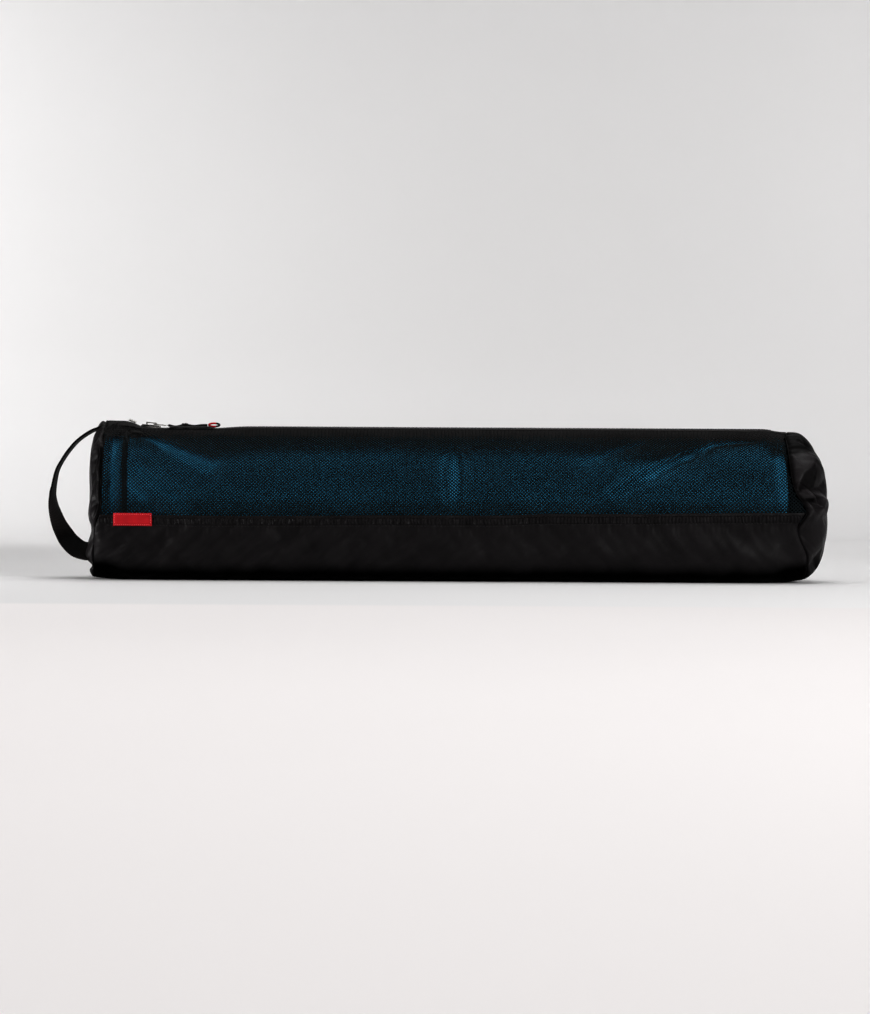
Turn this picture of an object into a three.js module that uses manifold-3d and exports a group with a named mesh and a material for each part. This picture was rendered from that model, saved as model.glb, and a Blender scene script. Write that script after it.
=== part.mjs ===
// Long zipped bag with the rolled mat that it holds, lying on a flat surface.
// Millimetres, +Z up. X runs along the roll, the strap end is -X, the front is -Y.
import * as THREE from 'three';
import { mergeVertices } from 'three/addons/utils/BufferGeometryUtils.js';
import ManifoldModule from 'manifold-3d';

const wasm = await ManifoldModule();
wasm.setup();
const { Manifold, Mesh: SolidMesh } = wasm;

// ---- named sizes ------------------------------------------------------------
const GAP = 0.3;                 // clearance kept between pieces that touch
const AXIS_Z = 71.5;             // height of the roll's axis over the surface

const ROLL_OUTER = 69;           // rolled mat: outer radius
const ROLL_SHEET = 6;            //   sheet thickness
const ROLL_PITCH = 6.4;          //   thickness plus the air between turns
const ROLL_LENGTH = 1800;        //   length of the unrolled sheet
const ROLL_X0 = -326;            //   ends of the roll along X
const ROLL_X1 = 334;
const ROLL_STEPS = 24;           //   facets per turn
const ROLL_EDGE = 80;            //   angle of the outer edge, from the back up
const ROLL_ROUND = 0.65;         //   part of a turn that keeps its radius

const NET_WALL = 1.0;            // net, measured inwards from the skin
const NYLON_OUT = 1.5;           // nylon stands this far outside the skin
const NYLON_WALL = 1.2;
const TAPE_WALL = 1.0;           // zip tape, lies under the net
const SEAM_TAPE_WALL = 0.8;

const HEM_TOP = -5.2;             // upper edge of the nylon, degrees up from the front
const NET_FOOT = -15.5;          // lower edge of the net, hidden by the hem
const NET_HEAD = 84;             // upper edge of the net, beside the coil
const TAPE_EDGE = 72;            // outer edge of the zip tape

const COLUMNS = 40;              // facets along the bag
const SEAM_GAP = 0.2;            // half of the gap left along an end seam

const LEFT_X = -320, LEFT_DEPTH = 20;     // where the ends start to round, and how deep they are
const RIGHT_X = 337, RIGHT_DEPTH = 43.5;

const STRAP_WIDTH = 25, STRAP_WALL = 2.0, STRAP_STEPS = 36;

const TAPE_SPAN = [0, COLUMNS];           // columns that the zip tape and its coil cover
const COIL_SPAN = [2, COLUMNS - 1];
const COIL_TOP = 0.6, COIL_FOOT = -1.0;   // coil, from the skin
const STOP_X = -301, STOP_LENGTH = 7;
const SLIDER_X = -282.5, SLIDER_LENGTH = 17.5, SLIDER_WIDTH = 11;
const CORD_D = 2.4, KNOT_R = 2.7;

// ---- tables -----------------------------------------------------------------
// Half section of the skin: angle up from the front, distance from the roll's axis.
const SECTION = [
  { deg: -90, r: 88.0 }, { deg: -65, r: 83.0 }, { deg: -45, r: 80.2 },
  { deg: -25, r: 76.6 }, { deg: -8, r: 75.0 }, { deg: 15, r: 73.9 },
  { deg: 35, r: 73.6 }, { deg: 55, r: 74.4 }, { deg: 75, r: 76.6 },
  { deg: 90, r: 78.2 },
];
// End seams around the section, and how square each end is there.
const ENDS = [
  { deg: -90, left: -329, right: 352, leftSquare: 6.0, rightSquare: 2.6 },
  { deg: -60, left: -330, right: 354, leftSquare: 4.6, rightSquare: 2.5 },
  { deg: -37, left: -329, right: 353, leftSquare: 2.4, rightSquare: 2.4 },
  { deg: -15, left: -326, right: 342, leftSquare: 2.1, rightSquare: 2.4 },
  { deg: -2, left: -320, right: 351, leftSquare: 2.0, rightSquare: 2.4 },
  { deg: 12, left: -320, right: 341, leftSquare: 2.0, rightSquare: 2.4 },
  { deg: 25, left: -320.5, right: 337.5, leftSquare: 2.1, rightSquare: 2.4 },
  { deg: 50, left: -322, right: 337, leftSquare: 2.7, rightSquare: 2.45 },
  { deg: 70, left: -324, right: 338.5, leftSquare: 3.4, rightSquare: 2.55 },
  { deg: 90, left: -326, right: 345, leftSquare: 4.0, rightSquare: 2.55 },
];
// Folds and dents of the long panels: a line from (x0, deg0) to (x1, deg1).
const FOLDS = [
  { x0: -324, deg0: 90, x1: -309, deg1: 90, half: 15, h: 6.6 },    // stiff corner at the zip's end
  { x0: -282, deg0: 90, x1: -220, deg1: 90, half: 20, h: -1.9 },   // zip drawn down beside it
  { x0: -288, deg0: 61, x1: -218, deg1: 31, half: 10, h: -1.9 },   // net drawn onto the roll
  { x0: -288, deg0: 28, x1: -264, deg1: 9, half: 8, h: -1.6 },
  { x0: 16, deg0: 44, x1: 16, deg1: 6, half: 11, h: -1.9 },
  { x0: 172, deg0: 13, x1: 240, deg1: 44, half: 10, h: -1.9 },
  { x0: 240, deg0: 44, x1: 300, deg1: 68, half: 10, h: -1.9 },
  { x0: -120, deg0: 48, x1: -60, deg1: 50, half: 22, h: 1.2 },     // slack between
  { x0: 90, deg0: 46, x1: 130, deg1: 50, half: 22, h: 1.2 },
  { x0: -290, deg0: -40, x1: 312, deg1: -40, half: 20, h: 10.5 },  // nylon hanging slack to the surface
  { x0: -250, deg0: -32, x1: -160, deg1: -24, half: 9, h: 1.3 },   // soft rolls of the nylon
  { x0: -60, deg0: -26, x1: 40, deg1: -31, half: 9, h: 1.2 },
  { x0: 120, deg0: -33, x1: 215, deg1: -25, half: 9, h: 1.3 },
  { x0: 250, deg0: -24, x1: 320, deg1: -36, half: 8, h: 1.4 },
];
// Pleats of the gathered right end: angle, half width, height at mid way.
const PLEATS = [
  { deg: 64, half: 9, h: -1.6 }, { deg: 40, half: 11, h: 1.6 },
  { deg: 20, half: 6, h: -2.4 }, { deg: 6, half: 5, h: 2.2 },
  { deg: -10, half: 6, h: -2.2 }, { deg: -27, half: 8, h: 1.5 },
  { deg: -46, half: 7, h: -1.5 },
];
// Soft bulges of the left end panel.
const BULGES = [
  { y: -47, z: 27, half: 13, h: 1.8 },      // over the strap's lower end
  { y: 0, z: 112, half: 22, h: 0.8 },
  { y: -18, z: 66, half: 20, h: -1.2 },
];
// Hand loop: centre line from the zip corner to the lower front corner.
const STRAP = [
  { x: -329.5, y: 0, z: 148.6, twist: 0 }, { x: -340.8, y: 0, z: 144.4, twist: -1 },
  { x: -354.3, y: -1, z: 135.0, twist: -2.5 }, { x: -362.8, y: -2, z: 125.2, twist: -3 },
  { x: -369.2, y: -3, z: 115.3, twist: -3.5 }, { x: -373.7, y: -5, z: 105.5, twist: -3.5 },
  { x: -376.4, y: -11, z: 86.0, twist: -1 }, { x: -375.6, y: -15, z: 76.0, twist: 5.5 },
  { x: -373.2, y: -19, z: 66.2, twist: 14.5 }, { x: -369.5, y: -23, z: 56.4, twist: 21.5 },
  { x: -364.2, y: -27, z: 46.8, twist: 30 }, { x: -357.8, y: -31, z: 37.8, twist: 36 },
  { x: -348.4, y: -37, z: 30.2, twist: 40 }, { x: -338.5, y: -43, z: 27.4, twist: 42 },
  { x: -331.5, y: -46, z: 26.8, twist: 42 },
];
// Pull cord: its centre beside the coil and its height over the skin along the zip.
const CORD = [
  { x: -265.3, y: 0, up: 2.7 }, { x: -258, y: -3.7, up: 1.5 }, { x: -249, y: -3.0, up: 3.3 },
  { x: -240, y: -4.6, up: 1.3 }, { x: -233, y: -3.8, up: 1.6 }, { x: -227.4, y: -0.8, up: 3.0 },
];
const LABEL = { x0: -308, x1: -271.4, degTop: -5.4, degFoot: -14.4, wall: 0.6 };
const PULL_LOOP = { x: -220.6, up: 3.3, long: 5.2, high: 1.6, wire: 0.95 };
const SEAM_TAPE = { x0: -299.8, x1: -294.7, lean: -0.07, degTop: 69, degFoot: -13, out: -1.9 };   // lean in mm a degree

// Angles shared by every piece that meets at an end seam (front half).
const ANGLES = [-90, -78, -66, -57, -48, -39, -30, -22, NET_FOOT, HEM_TOP,
  3, 13, 24, 36, 48, 60, TAPE_EDGE, NET_HEAD, 90];

// ---- helpers ----------------------------------------------------------------
const rad = THREE.MathUtils.degToRad;
const lerp = THREE.MathUtils.lerp;

// Value of a column between rows, as a smooth curve through them.
function between(rows, key, at, column) {
  const last = rows.length - 1;
  if (at <= rows[0][key]) return rows[0][column];
  if (at >= rows[last][key]) return rows[last][column];
  let i = 0;
  while (rows[i + 1][key] < at) i++;
  const slope = (j) => {
    const a = rows[Math.max(0, j - 1)], b = rows[Math.min(last, j + 1)];
    return (b[column] - a[column]) / (b[key] - a[key]);
  };
  const a = rows[i], b = rows[i + 1], w = b[key] - a[key], t = (at - a[key]) / w;
  return a[column] * (2 * t ** 3 - 3 * t * t + 1) + b[column] * (3 * t * t - 2 * t ** 3)
    + w * (slope(i) * (t ** 3 - 2 * t * t + t) + slope(i + 1) * (t ** 3 - t * t));
}
// The back mirrors the front: fold an angle of the full ring onto the front half.
const front = (deg) => (deg > 90 ? 180 - deg : deg);

// Distance from a fold's line, measured along the skin, as a soft ridge.
function foldHeight(x, deg) {
  let sum = 0;
  const arc = rad(75);
  for (const f of FOLDS) {
    const ax = f.x0, ay = f.deg0 * arc, bx = f.x1, by = f.deg1 * arc;
    const px = x - ax, py = deg * arc - ay, dx = bx - ax, dy = by - ay;
    const t = THREE.MathUtils.clamp((px * dx + py * dy) / (dx * dx + dy * dy), 0, 1);
    const d = Math.hypot(px - t * dx, py - t * dy) / f.half;
    sum += f.h * Math.exp(-d * d);
  }
  return sum;
}
const softMin = (a, b, k) => {
  const h = Math.max(k - Math.abs(a - b), 0) / k;
  return Math.min(a, b) - h * h * k / 4;
};
// Radius of a layer of the tube, before an end rounds it off; flat on the surface.
function layer(x, deg, out) {
  const a = front(deg);
  const r = between(SECTION, 'deg', a, 'r') + foldHeight(x, a) + out;
  if (a > -35) return r;
  return softMin(r, (AXIS_Z - NYLON_OUT + out) / Math.sin(rad(-a)), 5.0);
}
// How far the section has drawn in at x.
function drawIn(x, deg) {
  const a = front(deg);
  const left = x < LEFT_X;
  const t = left ? (LEFT_X - x) / LEFT_DEPTH : Math.max(0, (x - RIGHT_X) / RIGHT_DEPTH);
  const n = between(ENDS, 'deg', a, left ? 'leftSquare' : 'rightSquare');
  return (1 - Math.min(1, t) ** n) ** (1 / n);
}
const ring = (x, deg, r) =>
  new THREE.Vector3(x, -r * Math.cos(rad(deg)), AXIS_Z + r * Math.sin(rad(deg)));
const onTube = (x, deg, out) => ring(x, deg, layer(x, deg, out) * drawIn(x, deg));
const seam = (deg, side) => between(ENDS, 'deg', front(deg), side);
const leftEdge = (deg) => seam(deg, 'left') + SEAM_GAP;
const rightEdge = (deg) => seam(deg, 'right') - SEAM_GAP;
const topLine = (x) => AXIS_Z + layer(x, 90, 0);

// Point of an end panel: s = 0 at the seam, 1 at the middle.
function onEnd(side, s, deg, inward) {
  const left = side === 'left', a = front(deg);
  const x0 = left ? LEFT_X : RIGHT_X, sign = left ? -1 : 1;
  const depth = (left ? LEFT_DEPTH : RIGHT_DEPTH) - inward;
  const n = between(ENDS, 'deg', a, left ? 'leftSquare' : 'rightSquare');
  const start = Math.max(0, sign * (seam(deg, side) + sign * SEAM_GAP - x0) / depth);
  const phi0 = Math.asin(Math.min(1, start) ** (n / 2));
  const phi = lerp(phi0, Math.PI / 2, s);
  const edge = layer(seam(deg, side), deg, NYLON_OUT - inward);
  const k = Math.max(0, Math.cos(phi)) ** (2 / n);
  const seamX = seam(deg, side) + sign * SEAM_GAP;
  const p = ring(x0 + sign * depth * Math.sin(phi) ** (2 / n), deg, edge * k);
  // where a seam lies short of the rounding, the panel starts straight from it
  if (sign * (seamX - x0) < 0) p.x += (seamX - x0) * (1 - s) ** 3;
  if (left) {
    for (const b of BULGES) {
      p.x -= b.h * Math.exp(-(((p.y - b.y) / b.half) ** 2) - ((p.z - b.z) / b.half) ** 2);
    }
  } else {
    let pleat = 0;
    for (const row of PLEATS) pleat += row.h * Math.exp(-(((a - row.deg) / row.half) ** 2));
    pleat *= Math.sin(Math.PI * s) ** 0.8;
    const away = new THREE.Vector3(sign * depth * k, p.y, p.z - AXIS_Z).normalize();
    p.addScaledVector(away, pleat * (1 - s * s));
  }
  return p;
}

// Closed wall from two grids of points, outer and inner; a ring when it wraps round.
function wall(outer, inner, wrap = false) {
  const rows = outer.length, cols = outer[0].length, pos = [], idx = [];
  for (const grid of [outer, inner]) for (const row of grid) for (const p of row) pos.push(p.x, p.y, p.z);
  const at = (g, i, j) => (g * rows + i) * cols + (wrap ? j % cols : j);
  const quad = (a, b, c, d) => idx.push(a, b, c, a, c, d);
  const lastCol = wrap ? cols : cols - 1;
  for (let i = 0; i < rows - 1; i++) for (let j = 0; j < lastCol; j++) {
    quad(at(0, i, j), at(0, i, j + 1), at(0, i + 1, j + 1), at(0, i + 1, j));
    quad(at(1, i, j), at(1, i + 1, j), at(1, i + 1, j + 1), at(1, i, j + 1));
  }
  for (let j = 0; j < lastCol; j++) {
    quad(at(1, 0, j), at(1, 0, j + 1), at(0, 0, j + 1), at(0, 0, j));
    quad(at(0, rows - 1, j), at(0, rows - 1, j + 1), at(1, rows - 1, j + 1), at(1, rows - 1, j));
  }
  if (!wrap) for (let i = 0; i < rows - 1; i++) {
    quad(at(0, i, 0), at(0, i + 1, 0), at(1, i + 1, 0), at(1, i, 0));
    quad(at(1, i, cols - 1), at(1, i + 1, cols - 1), at(0, i + 1, cols - 1), at(0, i, cols - 1));
  }
  const g = new THREE.BufferGeometry();
  g.setAttribute('position', new THREE.Float32BufferAttribute(pos, 3));
  g.setIndex(idx);
  return outwards(g);
}
// Turn the faces over if they look inwards.
function outwards(geometry) {
  const p = geometry.attributes.position, id = geometry.index.array;
  const a = new THREE.Vector3(), b = new THREE.Vector3(), c = new THREE.Vector3();
  let volume = 0;
  for (let i = 0; i < id.length; i += 3) {
    a.fromBufferAttribute(p, id[i]); b.fromBufferAttribute(p, id[i + 1]); c.fromBufferAttribute(p, id[i + 2]);
    volume += a.dot(b.cross(c));
  }
  if (volume < 0) for (let i = 0; i < id.length; i += 3) [id[i + 1], id[i + 2]] = [id[i + 2], id[i + 1]];
  geometry.computeVertexNormals();
  return geometry;
}
// A strip of the tube over some angles: from seam to seam, or between two columns.
function tubePanel(angles, outer, inner, from = 0, to = COLUMNS) {
  const grid = (out) => Array.from({ length: to - from + 1 }, (_, i) => angles.map((deg) =>
    onTube(lerp(leftEdge(deg), rightEdge(deg), (from + i) / COLUMNS), deg, typeof out === 'function' ? out(deg) : out)));
  return wall(grid(outer), grid(inner));
}
// A small patch of the tube between two values of x, leaning with the angle.
function tubePatch(angles, x0, x1, outer, inner, columns, lean = 0) {
  const grid = (out) => Array.from({ length: columns + 1 }, (_, i) =>
    angles.map((deg) => onTube(lerp(x0, x1, i / columns) + lean * (front(deg) + 8), deg, out)));
  return wall(grid(outer), grid(inner));
}
const anglesFrom = (lo, hi) => ANGLES.filter((a) => a >= lo && a <= hi).reverse();
const toBack = (list) => list.map((a) => 180 - a).reverse();
const FULL = [...ANGLES, ...toBack(ANGLES).slice(1, -1)];

// An end panel: rings from the seam to a small patch at the middle.
function endPanel(side, steps) {
  const rows = (inward) => steps.map((s) => FULL.map((deg) => onEnd(side, s, deg, inward)));
  const outer = rows(0), inner = rows(NYLON_WALL);
  const n = FULL.length, count = steps.length, pos = [], idx = [];
  for (const grid of [outer, inner]) for (const row of grid) for (const p of row) pos.push(p.x, p.y, p.z);
  const middle = (inward) => {
    const c = new THREE.Vector3();
    for (const deg of FULL) c.add(onEnd(side, 1, deg, inward));
    return c.divideScalar(n);
  };
  for (const inward of [0, NYLON_WALL]) { const c = middle(inward); pos.push(c.x, c.y, c.z); }
  const at = (g, i, j) => (g * count + i) * n + (j % n);
  const hub = (g) => 2 * count * n + g;
  for (let j = 0; j < n; j++) {
    for (let i = 0; i < count - 1; i++) {
      idx.push(at(0, i, j), at(0, i, j + 1), at(0, i + 1, j + 1), at(0, i, j), at(0, i + 1, j + 1), at(0, i + 1, j));
      idx.push(at(1, i, j), at(1, i + 1, j + 1), at(1, i, j + 1), at(1, i, j), at(1, i + 1, j), at(1, i + 1, j + 1));
    }
    idx.push(at(0, count - 1, j), at(0, count - 1, j + 1), hub(0));
    idx.push(at(1, count - 1, j + 1), at(1, count - 1, j), hub(1));
    idx.push(at(0, 0, j + 1), at(0, 0, j), at(1, 0, j), at(0, 0, j + 1), at(1, 0, j), at(1, 0, j + 1));
  }
  const g = new THREE.BufferGeometry();
  g.setAttribute('position', new THREE.Float32BufferAttribute(pos, 3));
  g.setIndex(idx);
  return outwards(g);
}

// Webbing swept along the strap's rows, turned by their twist.
function webbing(width, thick) {
  const curve = new THREE.CatmullRomCurve3(STRAP.map((r) => new THREE.Vector3(r.x, r.y, r.z)), false, 'centripetal');
  const outer = [], inner = [];
  for (let i = 0; i <= STRAP_STEPS; i++) {
    const u = i / STRAP_STEPS, p = curve.getPoint(u), t = curve.getTangent(u);
    const row = u * (STRAP.length - 1), lo = Math.min(STRAP.length - 2, Math.floor(row));
    const twist = rad(lerp(STRAP[lo].twist, STRAP[lo + 1].twist, row - lo));
    const across = new THREE.Vector3(0, -1, 0).addScaledVector(t, t.y).normalize();
    const inside = new THREE.Vector3().crossVectors(t, across).normalize();
    const w = across.clone().multiplyScalar(Math.cos(twist)).addScaledVector(inside, Math.sin(twist));
    const n = new THREE.Vector3().crossVectors(w, t).normalize();
    const edge = (a, b) => p.clone().addScaledVector(w, a * width / 2).addScaledVector(n, b * thick / 2);
    outer.push([edge(-1, 1), edge(1, 1)]);
    inner.push([edge(-1, -1), edge(1, -1)]);
  }
  return wall(outer, inner);
}

// Solid arithmetic on closed geometry.
function toSolid(geometry) {
  const g = new THREE.BufferGeometry();
  g.setAttribute('position', geometry.attributes.position.clone());
  g.setIndex(geometry.index ? geometry.index.clone() : null);
  const m = mergeVertices(g, 1e-4);
  return new Manifold(new SolidMesh({
    numProp: 3,
    vertProperties: new Float32Array(m.attributes.position.array),
    triVerts: new Uint32Array(m.index.array),
  }));
}
function toGeometry(solid) {
  const m = solid.getMesh(), g = new THREE.BufferGeometry();
  g.setAttribute('position', new THREE.Float32BufferAttribute(m.vertProperties, 3));
  g.setIndex(Array.from(m.triVerts));
  g.computeVertexNormals();
  return g;
}

// ---- materials --------------------------------------------------------------
const cloth = (name, color, roughness) => new THREE.MeshStandardMaterial({ name, color, roughness, metalness: 0 });
const nylon = () => cloth('nylon', 0x1d1c1e, 0.62);
const net = () => cloth('net', 0x131416, 0.8);
const steel = () => new THREE.MeshStandardMaterial({ name: 'bright_metal', color: 0xc8c8c6, roughness: 0.28, metalness: 1 });

// ---- assembly ---------------------------------------------------------------
const bag = new THREE.Group();
bag.name = 'yoga_kit_bag';
function add(name, geometry, material, parent = bag) {
  const mesh = new THREE.Mesh(geometry, material);
  mesh.name = name;
  parent.add(mesh);
  return mesh;
}

// front hem, under the bag, back hem
const underside = anglesFrom(-90, HEM_TOP);
const trough = [...underside, ...toBack(underside).slice(1)];
add('bottom_panel', tubePanel(trough, NYLON_OUT, NYLON_OUT - NYLON_WALL), nylon());

const netAngles = anglesFrom(NET_FOOT, NET_HEAD);
add('mesh_front', tubePanel(netAngles, 0, -NET_WALL), net());
add('mesh_back', tubePanel(toBack(netAngles), 0, -NET_WALL), net());

const tapeTop = -NET_WALL - GAP;
const tapeAngles = [180 - TAPE_EDGE, 180 - NET_HEAD, NET_HEAD, TAPE_EDGE];
add('zip_tape', tubePanel(tapeAngles, tapeTop, tapeTop - TAPE_WALL, ...TAPE_SPAN), cloth('zip_tape', 0x161617, 0.85));
const coilTop = (deg) => (Math.abs(deg - 90) > 1 ? COIL_TOP - 0.7 : COIL_TOP);
add('zip_coil', tubePanel([92.1, 90.7, 89.3, 87.9], coilTop, COIL_FOOT, ...COIL_SPAN), cloth('zip_coil', 0x101011, 0.45));

const bandAngles = [SEAM_TAPE.degTop, 54, 42, 30, 19, 8, -3, SEAM_TAPE.degFoot];
const band = (angles) => tubePatch(angles, SEAM_TAPE.x0, SEAM_TAPE.x1, SEAM_TAPE.out, SEAM_TAPE.out - SEAM_TAPE_WALL, 2, SEAM_TAPE.lean);
add('seam_tape_front', band(bandAngles), cloth('seam_tape', 0x0f0f10, 0.85));
add('seam_tape_back', band(toBack(bandAngles)), cloth('seam_tape', 0x0f0f10, 0.85));

const slots = toSolid(webbing(STRAP_WIDTH + 2 * GAP, STRAP_WALL + 2 * GAP));
const leftShell = toSolid(endPanel('left', [0, 0.16, 0.34, 0.56, 0.8]));
add('end_panel_left', toGeometry(leftShell.subtract(slots)), nylon());
add('end_panel_right', endPanel('right', [0, 0.13, 0.28, 0.45, 0.63, 0.82]), nylon());
add('strap_loop', webbing(STRAP_WIDTH, STRAP_WALL), cloth('webbing', 0x0e0d0d, 0.75));

const labelFoot = NYLON_OUT + 2 * GAP;
const labelAngles = [LABEL.degTop, (LABEL.degFoot + LABEL.degTop) / 2, LABEL.degFoot];
add('label', tubePatch(labelAngles, LABEL.x0, LABEL.x1, labelFoot + LABEL.wall, labelFoot, 4), cloth('label', 0xa01722, 0.7));

// Rolled mat: one sheet wound in a spiral, extruded along the bag. Each turn keeps
// its radius for most of the way and steps in before the sheet's outer edge.
{
  const inner = Math.sqrt(ROLL_OUTER ** 2 - ROLL_LENGTH * ROLL_PITCH / Math.PI);
  const steps = Math.round((ROLL_OUTER - inner) / ROLL_PITCH * ROLL_STEPS);
  const stepIn = (turn) => Math.floor(turn) + THREE.MathUtils.smoothstep(turn - Math.floor(turn), ROLL_ROUND, 1);
  const spiral = (offset) => Array.from({ length: steps + 1 }, (_, i) => {
    const r = ROLL_OUTER - offset - ROLL_PITCH * stepIn(i / ROLL_STEPS);
    const a = rad(ROLL_EDGE + 360 * i / ROLL_STEPS);
    return new THREE.Vector2(r * Math.cos(a), r * Math.sin(a));
  });
  const shape = new THREE.Shape([...spiral(0), ...spiral(ROLL_SHEET).reverse()]);
  const g = new THREE.ExtrudeGeometry(shape, { depth: ROLL_X1 - ROLL_X0, steps: 1, bevelEnabled: false });
  const across = new THREE.Vector3(0, 1, 0), up = new THREE.Vector3(0, 0, 1), along = new THREE.Vector3(1, 0, 0);
  g.applyMatrix4(new THREE.Matrix4().makeBasis(across, up, along));
  add('rolled_mat', g, cloth('foam_mat', 0x1c4a63, 0.85)).position.set(ROLL_X0, 0, AXIS_Z);
}

// Zip hardware, in a group that stands on the top line at the slider.
const zip = new THREE.Group();
zip.position.set(SLIDER_X, 0, topLine(SLIDER_X) + GAP);
zip.rotation.y = -Math.atan((topLine(SLIDER_X + 12) - topLine(SLIDER_X - 8)) / 20);
bag.add(zip);
{
  const block = (x, y, z, cx, cy, cz) => toSolid(new THREE.BoxGeometry(x, y, z).translate(cx, cy, cz));
  const half = SLIDER_WIDTH / 2;
  const body = new THREE.Shape();
  const along = SLIDER_LENGTH / 2;
  body.moveTo(-along, -half * 0.72);
  body.quadraticCurveTo(-along * 0.2, -half * 1.08, along, -half);
  body.lineTo(along, half);
  body.quadraticCurveTo(-along * 0.2, half * 1.08, -along, half * 0.72);
  body.closePath();
  const plate = new THREE.ExtrudeGeometry(body, { depth: 3.2, bevelEnabled: false, curveSegments: 6 }).translate(0, 0, -0.8);
  const channel = block(SLIDER_LENGTH + 4, 7.0, 2.8, 0, 0, 0.2);
  const leg = (x) => block(1.6, 2.4, 2.4, x, 0, 3.1);
  const bar = block(10.6, 2.4, 1.1, 0, 0, 4.5);
  const slider = toSolid(plate).subtract(channel).add(leg(-4.5)).add(leg(4.5)).add(bar);
  add('zip_slider', toGeometry(slider), steel(), zip);

  const tab = new THREE.Shape();
  tab.moveTo(2.2, -2.6);
  tab.lineTo(13.4, -3.2);
  tab.absarc(13.4, 0, 3.2, -Math.PI / 2, Math.PI / 2, false);
  tab.lineTo(2.2, 2.6);
  tab.closePath();
  const eye = new THREE.Path();
  eye.moveTo(3.3, -1.65); eye.lineTo(3.3, 1.65); eye.lineTo(7.2, 1.65); eye.lineTo(7.2, -1.65); eye.closePath();
  const hole = new THREE.Path();
  hole.absarc(13.2, 0, 1.7, 0, 2 * Math.PI, true);
  tab.holes.push(eye, hole);
  add('zip_puller', new THREE.ExtrudeGeometry(tab, { depth: 0.9, bevelEnabled: false, curveSegments: 8 }).translate(0, 0, 2.75), steel(), zip);
}
{
  const stop = new THREE.Group();
  stop.position.set(STOP_X, 0, topLine(STOP_X) + GAP);
  stop.rotation.y = -Math.atan((topLine(STOP_X + 4) - topLine(STOP_X - 4)) / 8);
  bag.add(stop);
  const outline = new THREE.Shape();
  outline.moveTo(-3.2, -0.8); outline.lineTo(3.2, -0.8); outline.lineTo(3.2, 0.8);
  outline.quadraticCurveTo(0, 2.6, -3.2, 0.8); outline.closePath();
  const g = new THREE.ExtrudeGeometry(outline, { depth: STOP_LENGTH, bevelEnabled: false, curveSegments: 5 });
  g.rotateX(Math.PI / 2).rotateZ(Math.PI / 2).translate(-STOP_LENGTH / 2, 0, 0);
  add('zip_stop', g, steel(), stop);
}

// Pull cord with its knot, and the red loop at its end.
{
  const curve = new THREE.CatmullRomCurve3(CORD.map((r) => new THREE.Vector3(r.x, r.y, topLine(r.x) + r.up)));
  const section = new THREE.Shape();
  for (let i = 0; i < 8; i++) {
    const a = 2 * Math.PI * (i + 0.5) / 8, x = Math.cos(a) * CORD_D / 2, y = Math.sin(a) * CORD_D / 2;
    if (i) section.lineTo(x, y); else section.moveTo(x, y);
  }
  section.closePath();
  const tube = new THREE.ExtrudeGeometry(section, { steps: 12, extrudePath: curve, bevelEnabled: false });
  const at = CORD[2];
  const knot = new THREE.IcosahedronGeometry(KNOT_R, 1).scale(1.35, 1, 0.86).translate(at.x, at.y, topLine(at.x) + at.up);
  add('pull_cord', toGeometry(toSolid(tube).add(toSolid(knot))), cloth('cord', 0x121212, 0.8));
  const loop = new THREE.TorusGeometry(1, PULL_LOOP.wire, 8, 24);
  const p = loop.attributes.position;
  for (let i = 0; i < p.count; i++) {
    const a = Math.atan2(p.getY(i), p.getX(i)), c = Math.cos(a), s = Math.sin(a);
    const off = Math.hypot(p.getX(i), p.getY(i)) - 1;
    p.setXYZ(i, c * (PULL_LOOP.long + off), -p.getZ(i), s * (PULL_LOOP.high + off));
  }
  add('pull_loop', toGeometry(toSolid(loop)), cloth('red_cord', 0xb01c22, 0.7)).position.set(PULL_LOOP.x, 0, topLine(PULL_LOOP.x) + PULL_LOOP.up);
}

export default bag;
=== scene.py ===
"""Looks of the long zipped bag with its rolled mat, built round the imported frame.

Shapes are worked out in millimetres in the frame's own axes (X along the roll, the
strap end at -X, the front at -Y, Z up) and stored in metres.
"""
import math

import bmesh
import bpy
import numpy as np
from mathutils import Matrix, Vector
from mathutils.geometry import delaunay_2d_cdt


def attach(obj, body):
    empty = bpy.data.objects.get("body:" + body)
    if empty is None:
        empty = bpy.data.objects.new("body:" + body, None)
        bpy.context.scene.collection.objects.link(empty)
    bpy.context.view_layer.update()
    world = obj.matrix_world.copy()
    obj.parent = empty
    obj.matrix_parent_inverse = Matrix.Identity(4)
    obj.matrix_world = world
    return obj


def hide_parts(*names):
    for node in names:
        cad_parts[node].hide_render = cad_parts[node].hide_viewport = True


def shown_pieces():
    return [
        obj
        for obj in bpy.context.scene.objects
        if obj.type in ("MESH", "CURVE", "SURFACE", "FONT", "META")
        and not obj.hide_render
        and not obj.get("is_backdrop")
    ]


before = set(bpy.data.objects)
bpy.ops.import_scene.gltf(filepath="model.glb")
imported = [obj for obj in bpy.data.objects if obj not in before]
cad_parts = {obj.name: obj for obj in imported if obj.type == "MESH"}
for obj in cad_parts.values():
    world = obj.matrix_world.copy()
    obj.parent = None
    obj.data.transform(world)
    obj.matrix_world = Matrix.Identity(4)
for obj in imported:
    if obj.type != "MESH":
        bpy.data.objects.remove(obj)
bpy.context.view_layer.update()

MM = 0.001
rng = np.random.RandomState(20)

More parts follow.
